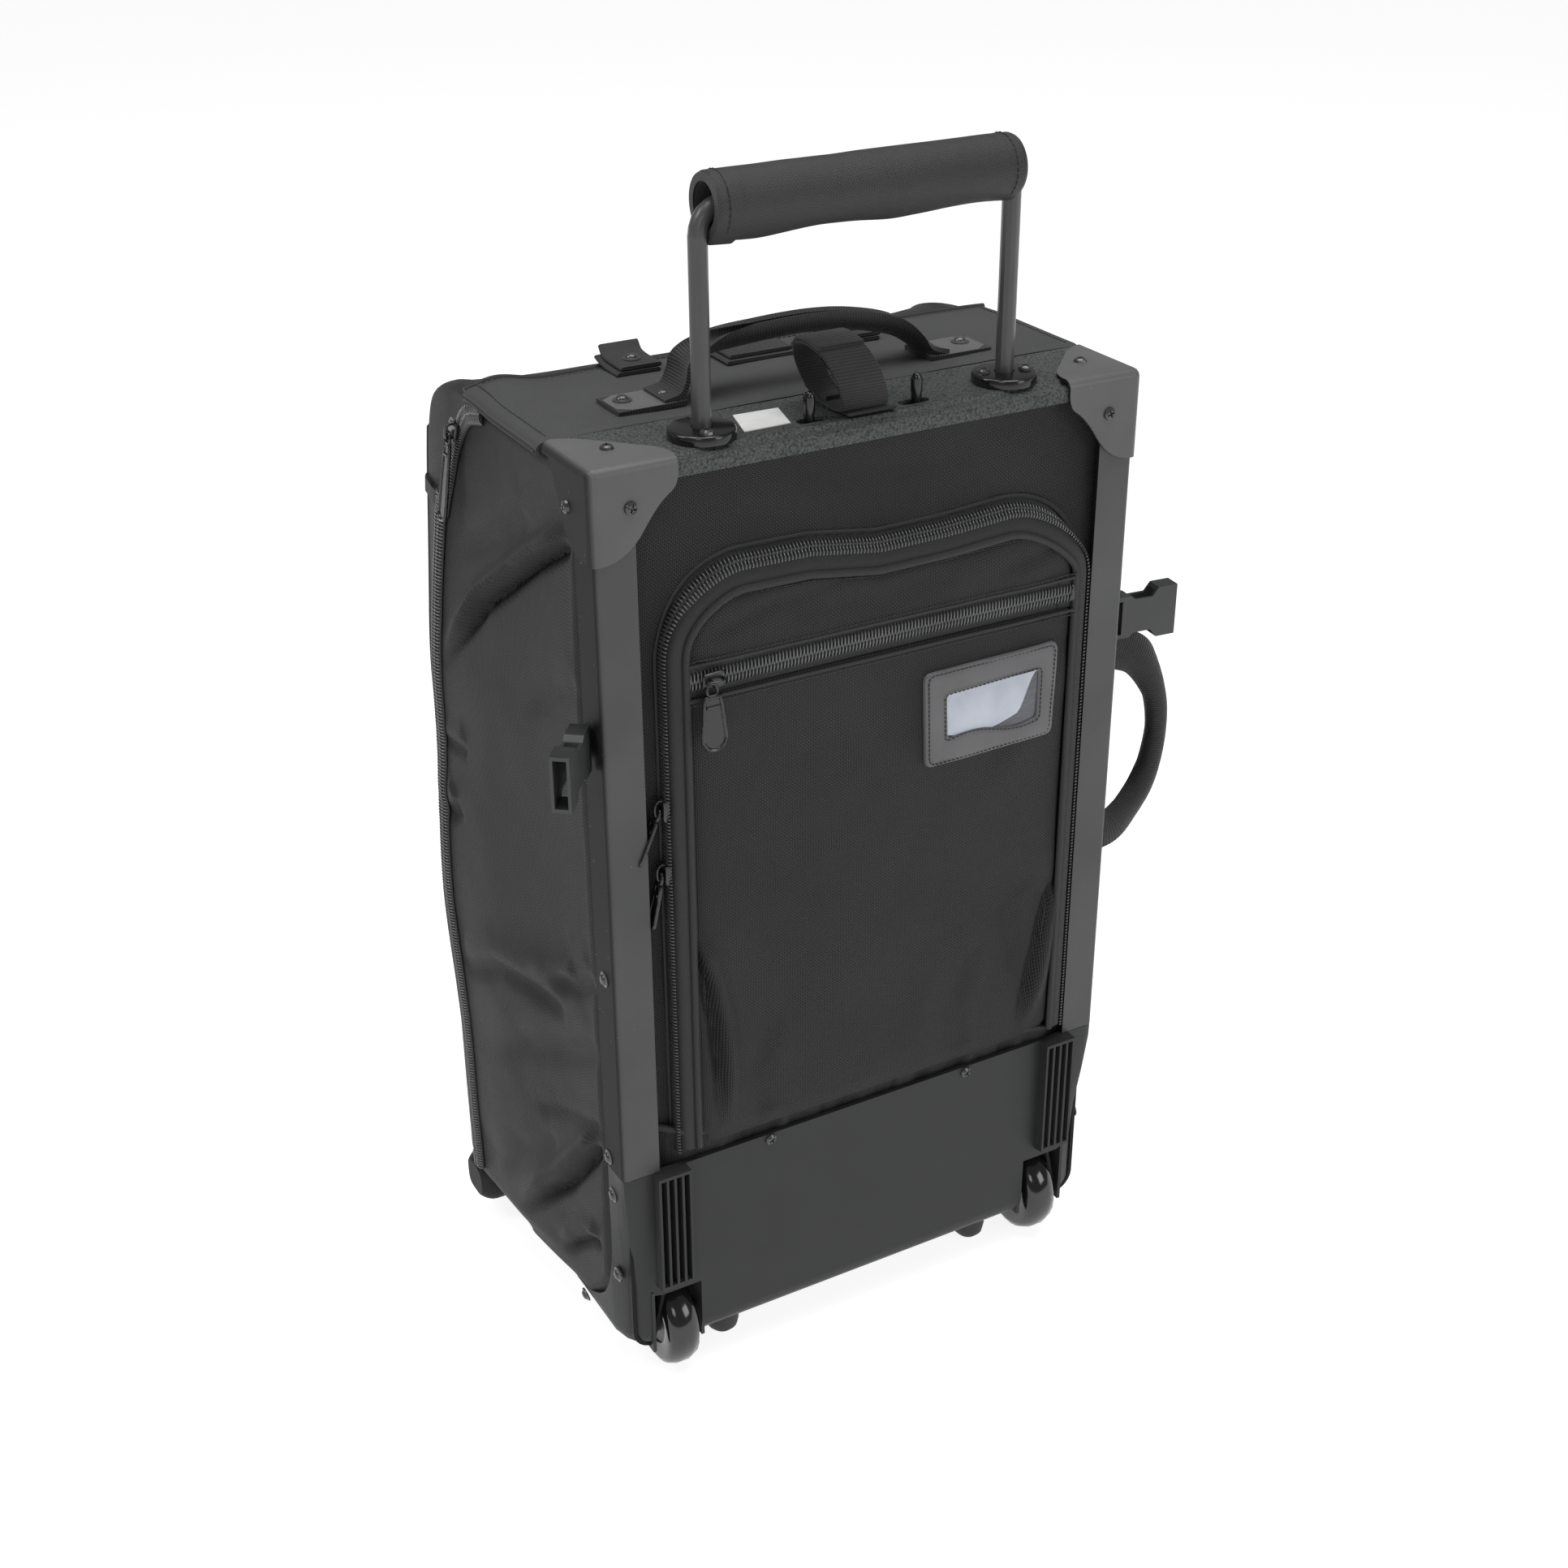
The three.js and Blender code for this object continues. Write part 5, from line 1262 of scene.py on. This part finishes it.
# ---------------------------------------------------------------- grip, handles, straps
def make_grip():
    """Fabric wrapped round the bar: a spiral whose ends meet below in two loose lips."""
    x = np.linspace(-84, 86, 96)
    inner, outer, wall = 11.4, 15.5, 4.2
    lip = np.radians(np.linspace(-98, 278, 60))
    section = [(outer * math.cos(a), outer * math.sin(a)) for a in lip]
    section += [(inner * math.cos(a), inner * math.sin(a)) for a in lip[::-1]]
    section = np.array(section)
    angle = np.arctan2(section[:, 1], section[:, 0])
    below = np.exp(-((angle + math.pi / 2) / 0.5) ** 2)
    rings = []
    for value in x:
        flare = 1 + (0.10 + 0.07 * math.sin(value / 13.0) + 0.10 * (value < -70)) * below
        end = 1 - 0.05 * float(step(abs(value - 1), 83, 85))
        wobble = 1 + 0.012 * soft_noise(angle * 9, value + 0 * angle, 14, 91)
        ring = section * (flare * wobble * end)[:, None]
        rings.append(xyz(value, ROD_Y + ring[:, 0], GRIP_Z + ring[:, 1]))
    grid = np.array(rings)
    rows, columns = grid.shape[:2]
    faces = grid_quads(rows, columns, wrap_columns=True)
    u = arc_lengths(np.concatenate([grid, grid[:, :1]], 1), 1)
    v = np.broadcast_to(x[:, None], u.shape)
    cloth = grid_cloth(v, u, rows, columns + 1)
    faces += strip_caps(rows, columns)
    rim = [[(0, j), (0, j + 1), (wall, j + 1), (wall, j)] for j in range(columns // 2 - 1)]
    cloth += [corners[::-1] for corners in rim] + rim
    pieces = Pieces()
    pieces.add(grid.reshape(-1, 3), faces, cloth)
    pieces.make("grip_wrap", "wrap", "grip_sleeve", "trolley")
    thread = Pieces()
    for end in (-78, 80):
        turn = np.radians(np.linspace(-80, 260, 80))
        ring = xyz(end, ROD_Y + 15.55 * np.cos(turn), GRIP_Z + 15.55 * np.sin(turn))
        ups = xyz(0, np.cos(turn), np.sin(turn))
        stitches(thread, ring, ups)
    thread.make("grip_stitches", "thread", "grip_sleeve", "trolley")
    lining = Pieces()
    ring = [(11.2 * math.cos(a), 11.2 * math.sin(a)) for a in np.radians(np.linspace(-60, 240, 40))]
    ring += [(10.5 * math.cos(a), 10.5 * math.sin(a)) for a in np.radians(np.linspace(240, -60, 40))]
    rings = np.array([[(x, ROD_Y + a, GRIP_Z + b) for a, b in ring] for x in np.linspace(-82.5, 84.5, 12)])
    rows, columns = rings.shape[:2]
    lining.add(rings.reshape(-1, 3), grid_quads(rows, columns, wrap_columns=True) + strip_caps(rows, columns))
    lining.make("grip_lining", "lining", "grip_sleeve", "trolley")


def strap(pieces, path, half_width, half_thickness, up, curl=None, spacing=2.0):
    """A webbing band along a path; curl (0..1 at each point) rolls it into an open tube."""
    path = smooth_path(path, spacing)
    count = len(path)
    curl = [0, 0] if curl is None else curl
    curl = np.interp(np.linspace(0, 1, count), np.linspace(0, 1, len(curl)), curl)
    _, side, out = frames(path, up)
    across = np.linspace(-1, 1, 15)
    rings = []
    for k in range(count):
        bend = max(1e-3, 2.35 * curl[k])
        radius = half_width / bend
        a = across * bend
        u, w = radius * np.sin(a), radius * (1 - np.cos(a)) - 0.5 * radius * (1 - math.cos(bend))
        nu, nw = -np.sin(a), np.cos(a)
        upper = np.column_stack([u + nu * half_thickness, w + nw * half_thickness])
        lower = np.column_stack([u - nu * half_thickness, w - nw * half_thickness])
        edge = np.concatenate([upper, lower[::-1]])
        rings.append(path[k] + edge[:, :1] * side[k] + edge[:, 1:] * out[k])
    grid = np.array(rings)
    columns = grid.shape[1]
    faces = grid_quads(count, columns, wrap_columns=True)
    lane = np.concatenate([across, across[::-1], across[:1]]) * half_width
    along = np.linspace(0, 1, count) * np.linalg.norm(np.diff(path, axis=0), axis=1).sum()
    u, v = np.meshgrid(lane, along, indexing="xy")
    cloth = grid_cloth(u, v, count, columns + 1)
    caps = strip_caps(count, columns)
    cloth += [[(0, 0), (1, 0), (1, 1), (0, 1)]] * len(caps)
    return pieces.add(grid.reshape(-1, 3), faces + caps, cloth)


def rivet(pieces, place, direction, dome=3.4, rim=5.0, height=2.6):
    profile = [(0, -0.4), (rim, -0.4), (rim, 0.5), (dome + 0.5, 0.9), (dome, 1.1),
               (dome * 0.92, height * 0.7), (dome * 0.62, height), (0, height * 1.12)]
    points, faces = turned(profile, 20)
    direction = unit(np.asarray(direction, float))
    helper = np.array([1.0, 0, 0]) if abs(direction[0]) < 0.7 else np.array([0, 1.0, 0])
    side = unit(np.cross(direction, helper))
    pieces.add(laid(points, np.cross(side, direction), side, direction, place), faces)


def make_carry_handle():
    pieces = Pieces()
    bow = [(-84, 560.2), (-74, 562.4), (-69.5, 570), (-66, 577.5), (-52, 583), (-25, 585.5), (5, 586),
           (30, 583.5), (55, 577), (67, 569), (73, 562.4), (84, 560.2)]
    curl = [0, 0.1, 0.4, 0.8, 1, 1, 1, 1, 1, 0.85, 0.45, 0.1]
    strap(pieces, [(x, 80, z) for x, z in bow], 12.2, 1.25, (0, 0, 1), curl)
    pieces.make("carry_handle_webbing", "webbing", "carry_handle", "carry_handle")
    roots, studs = Pieces(), Pieces()
    for _, side in SIDES:
        root = [(side * 72, 80, 558.9), (side * 90, 80, 558.6), (side * 110, 80, 558.5)]
        strap(roots, root, 13.2, 1.2, (0, 0, 1))
        for x, y in ((79, 81), (100.5, 83)):
            rivet(studs, (side * x, y, 560.0), (0, 0, 1))
    roots.make("carry_handle_roots", "webbing", "bag_body")
    studs.make("carry_handle_rivets", "steel", "bag_body")


def make_side_handle():
    pieces = Pieces()
    bow = [(163, 386), (176, 383), (199, 371), (213, 345), (215.5, 315), (208, 285), (191, 266), (176, 262),
           (163, 263)]
    curl = [0, 0.1, 0.5, 0.9, 1, 0.9, 0.5, 0.1, 0]
    strap(pieces, [(x, 33, z) for x, z in bow], 12.2, 1.25, (0.0, 1, 0.01), curl)
    pieces.make("side_handle_webbing", "webbing", "side_handle", "side_handle")
    roots, studs = Pieces(), Pieces()
    for z in (386, 263):
        strap(roots, [(159.8, 33, z - 14), (160.4, 33, z), (159.8, 33, z + 14)], 13, 1.3, (1, 0, 0))
        for shift in (-9, 9):
            rivet(studs, (162.0, 33, z + shift), (1, 0, 0))
    roots.make("side_handle_roots", "webbing", "bag_body")
    studs.make("side_handle_rivets", "steel", "bag_body")


def make_strap_loop():
    """Broad webbing looped over itself in the middle of the top rail."""
    points = [(46, 587), (38, 590.5), (27, 591.8), (15, 588.5), (8, 578), (9, 565), (16, 559.6), (27, 558.8),
              (36, 559.8), (44, 565), (47.5, 576), (45, 585.5), (38, 592.4), (28, 594), (17, 592)]
    band = [(-1 - (z - 557) * 0.35, y, z) for y, z in points]
    flat_loop(Pieces(), band, 13.5, 1.1).make("strap_loop_webbing", "webbing", "strap_loop")
    flat_loop(Pieces(), [(-5, 14, 561.6), (-8, 12.2, 570), (-12, 16, 580), (-14, 22, 586)], 9.0, 0.8).make(
        "strap_loop_tab", "gloss", "strap_loop")
    fold = Pieces()
    flat_loop(fold, [(0, 52, 562.5), (0, 42, 561.0), (0, 31, 561.2)], 13.5, 1.2)
    flat_loop(fold, [(0, 8, 559.2), (0, 22, 558.3), (0, 46, 558.3)], 14.0, 0.8)
    fold.make("strap_loop_root", "webbing", "strap_loop")


def flat_loop(pieces, band, half_width, half_thickness, side=(1.0, 0, 0), spacing=1.6, ribbed=True):
    """A band whose width lies along one fixed direction; ribbed runs the webbing's ribs across it."""
    path = smooth_path(band, spacing)
    out = unit(np.cross(side, unit(np.gradient(path, axis=0))))
    section = np.array(band_section(half_width, half_thickness))
    grid = path[:, None] + section[None, :, :1] * np.array(side) + section[None, :, 1:] * out[:, None]
    rows, columns = grid.shape[:2]
    faces = grid_quads(rows, columns, wrap_columns=True) + end_caps(rows, columns)
    if not ribbed:
        return pieces.add(grid.reshape(-1, 3), faces)
    lane = np.concatenate([section[:, 0], section[:1, 0]])
    along = arc_lengths(path, 0)
    u, v = np.meshgrid(lane, along, indexing="xy")
    cloth = grid_cloth(u, v, rows, columns + 1)
    flat = [(float(a), float(b)) for a, b in section]
    cloth += [flat[::-1], flat]
    return pieces.add(grid.reshape(-1, 3), faces, cloth)


def make_tabs():
    """Double webbing tabs, the middle strap and the blank label on the top."""
    pieces, studs = Pieces(), Pieces()
    surface = lambda x, y: float(top_height(np.array(x, float), np.array(y, float)))
    for x, y0, y1, half, lift in ((-72, 122, 150, 12.6, 2.5), (56, 113, 143, 12.6, 1.0)):
        z = surface(x, y0)
        lower = [(x, y0, z + 1.0), (x, y0 + 12, z + 1.1), (x, y1 - 6, z + 2), (x, y1, z + 3 + lift * 0.3)]
        flat_loop(pieces, lower, half, 1.1)
        flat_loop(pieces, [(x + 2, y0 + 1, z + 3.4), (x + 2, y0 + 12, z + 3.6), (x + 2, y1 - 4, z + 4.6),
                           (x + 4, y1 + 5, z + 5 + lift)], half - 0.8, 1.1)
        rivet(studs, (x + 2, y0 + 13, z + 4.6), (0, 0, 1))
    z = surface(0, 112)
    flat_loop(pieces, [(-6, 111, z + 0.9), (-6, 124, z + 1.0), (-6, 146, z + 0.9)], 20, 1.0)
    flat_loop(pieces, [(-4, 114, z + 3.0), (-4, 126, z + 3.2), (-4, 147, z + 2.6)], 19, 1.0)
    pieces.make("top_tabs", "webbing", "bag_body")
    studs.make("top_tab_rivets", "steel", "bag_body")
    plate(Pieces(), [(-67, 17.2), (-41, 17.6), (-35, 41), (-60, 42)], 557.05, 557.45).make(
        "blank_sticker", "label", "bag_body")


def make_side_fittings():
    studs = Pieces()
    for _, side in SIDES:
        for y, z in ((11.9, 276), (18.0, 157), (14.5, 133.5), (13.4, 78)):
            rivet(studs, (side * 157.0, y, z), (side, 0, 0), 3.0, 4.4, 2.2)
        rivet(studs, (side * 156.6, 62.6, 26.5), (side, 0, -0.25), 3.0, 4.4, 2.2)
    studs.make("side_rivets", "steel", "bag_body")
    straps = Pieces()
    flat_band = [(158.8, 26), (160.4, 19), (163.5, 18.6), (166.8, 19), (167.0, 21.4), (163, 22.6)]
    for side, z in ((1, 409), (-1, 412)):
        band = [(side * x, y - (4 if side < 0 else 0), z) for x, y in flat_band]
        flat_loop(straps, band, 9.0, 0.8, side=(0, 0, 1.0), spacing=1.2, ribbed=False)
    straps.make("buckle_straps", "webbing", "bag_body")


# ---------------------------------------------------------------- CAD nodes that stay
KEPT = {
    "tray": "tray", "top_rail": "top_rail", "side_rail": "rail", "wheel_tyre": "tyre", "wheel_hub": "hub",
    "side_buckle": "buckle", "back_board": "lining",
    **dict.fromkeys(("corner_guard", "handle_plate"), "guard"),
    **dict.fromkeys(("guard_screw", "tray_screw", "flange_screw", "guide_tube"), "steel"),
    **dict.fromkeys(("pull_handle", "wheel_axle"), "rod"),
    **dict.fromkeys(("handle_flange", "release_lever"), "gloss"),
    **dict.fromkeys(("tube_bumper", "front_foot"), "rubber"),
}


def dress_kept_nodes():
    for name, node in NODES.items():
        for start, look in KEPT.items():
            if name.startswith(start):
                node.data.materials.clear()
                node.data.materials.append(MATERIALS[look])
                soften(node, 50 if look in ("tray", "gloss", "tyre", "rod") else 32)


def soften(node, degrees):
    """Smooth corner normals across shallow edges; the mesh itself is left alone."""
    mesh = node.data
    count = len(mesh.polygons)
    normals = np.empty(count * 3)
    mesh.polygons.foreach_get("normal", normals)
    normals = normals.reshape(-1, 3)
    areas = np.empty(count)
    mesh.polygons.foreach_get("area", areas)
    corners = np.empty(len(mesh.loops), int)
    mesh.loops.foreach_get("vertex_index", corners)
    faces = np.repeat(np.arange(count), [p.loop_total for p in mesh.polygons])
    points = np.empty(len(mesh.vertices) * 3)
    mesh.vertices.foreach_get("co", points)
    keys = np.round(points.reshape(-1, 3) * 1e6).astype(np.int64)
    _, spot = np.unique(keys, axis=0, return_inverse=True)
    spot = spot.reshape(-1)[corners]
    order = np.argsort(spot, kind="stable")
    limit = math.cos(math.radians(degrees))
    result = np.empty((len(corners), 3))
    starts = np.flatnonzero(np.r_[True, np.diff(spot[order]) > 0])
    for begin, end in zip(starts, np.r_[starts[1:], len(order)]):
        group = order[begin:end]
        own = faces[group]
        near = normals[own] @ normals[own].T >= limit
        result[group] = near @ (normals[own] * areas[own][:, None])
    mesh.normals_split_custom_set(unit(result).tolist())


# ---------------------------------------------------------------- light, floor and camera
# Soft boxes: name, place in metres from the case's centre, side in metres, watts.
SOFT_BOXES = (
    ("overhead", (0.2, -0.1, 2.6), 2.2, 62),
    ("front_right", (1.3, -2.2, 0.9), 1.0, 12.5),
    ("left_high", (-1.7, 0.35, 1.9), 0.8, 17),
    ("left_front", (-1.4, -2.0, 1.2), 0.7, 5),
)
CAMERA_PLACE = (-551.01, -884.70, 903.80)      # case millimetres
CAMERA_AIM = (0.43230672, 0.77212926, -0.46575455)
CAMERA_ROLL = -0.305                           # degrees
FOCAL_LENGTH = 50.78                           # millimetres on a 36 mm sensor


def make_stage():
    floor = bpy.data.meshes.new("floor")
    half = 58.0
    corners = [(-half, -half, 0), (half, -half, 0), (half, half, 0), (-half, half, 0)]
    floor.from_pydata(corners, [], [(0, 1, 2, 3)])
    plain = Finish("studio_floor", (0.4, 0.4, 0.4), 0.7, specular=0.1)
    plain.set(plain.shader, {"Emission Color": (1, 1, 1, 1), "Emission Strength": 0.86})
    grain = plain.noise(3.0, 2.0)
    plain.use(colour=plain.blend(grain, (0.39, 0.39, 0.39), (0.41, 0.41, 0.41)))
    floor.materials.append(plain.material)
    ground = bpy.data.objects.new("studio_floor", floor)
    scene.collection.objects.link(ground)
    world = bpy.data.worlds.new("studio")
    world.use_nodes = True
    world.node_tree.nodes["Background"].inputs["Color"].default_value = (1, 1, 1, 1)
    world.node_tree.nodes["Background"].inputs["Strength"].default_value = 0.20
    scene.world = world
    centre = Vector(case((0, 100, 300)))
    for name, place, size, power in SOFT_BOXES:
        light = bpy.data.lights.new(name, "AREA")
        light.size, light.energy = size, power
        lamp = bpy.data.objects.new(name, light)
        lamp.location = centre + Vector(place)
        lamp.rotation_euler = (centre - lamp.location).to_track_quat("-Z", "Y").to_euler()
        scene.collection.objects.link(lamp)
    scene.view_settings.view_transform = "Standard"
    scene.view_settings.look = "None"
    scene.view_settings.exposure = 0.0
    scene.view_settings.gamma = 1.0


def make_camera():
    lens = bpy.data.cameras.new("photo_camera")
    lens.lens, lens.sensor_width = FOCAL_LENGTH, 36.0
    lens.clip_start, lens.clip_end = 0.05, 60
    camera = bpy.data.objects.new("photo_camera", lens)
    camera.location = Vector(case(CAMERA_PLACE))
    aim = Vector(CAMERA_AIM).to_track_quat("-Z", "Y")
    camera.rotation_mode = "QUATERNION"
    camera.rotation_quaternion = aim @ Quaternion((0, 0, 1), math.radians(CAMERA_ROLL))
    scene.collection.objects.link(camera)
    scene.camera = camera


make_sides()
make_front_sill()
make_rear_panel()
make_top_panel()
make_lid()
make_front_pocket()
make_lid_zips()
make_pocket()
make_flat_zip()
make_foot_strip()
make_pulls()
make_holder()
make_grip()
make_carry_handle()
make_side_handle()
make_strap_loop()
make_tabs()
make_side_fittings()
dress_kept_nodes()
make_stage()
make_camera()

bpy.context.view_layer.update()
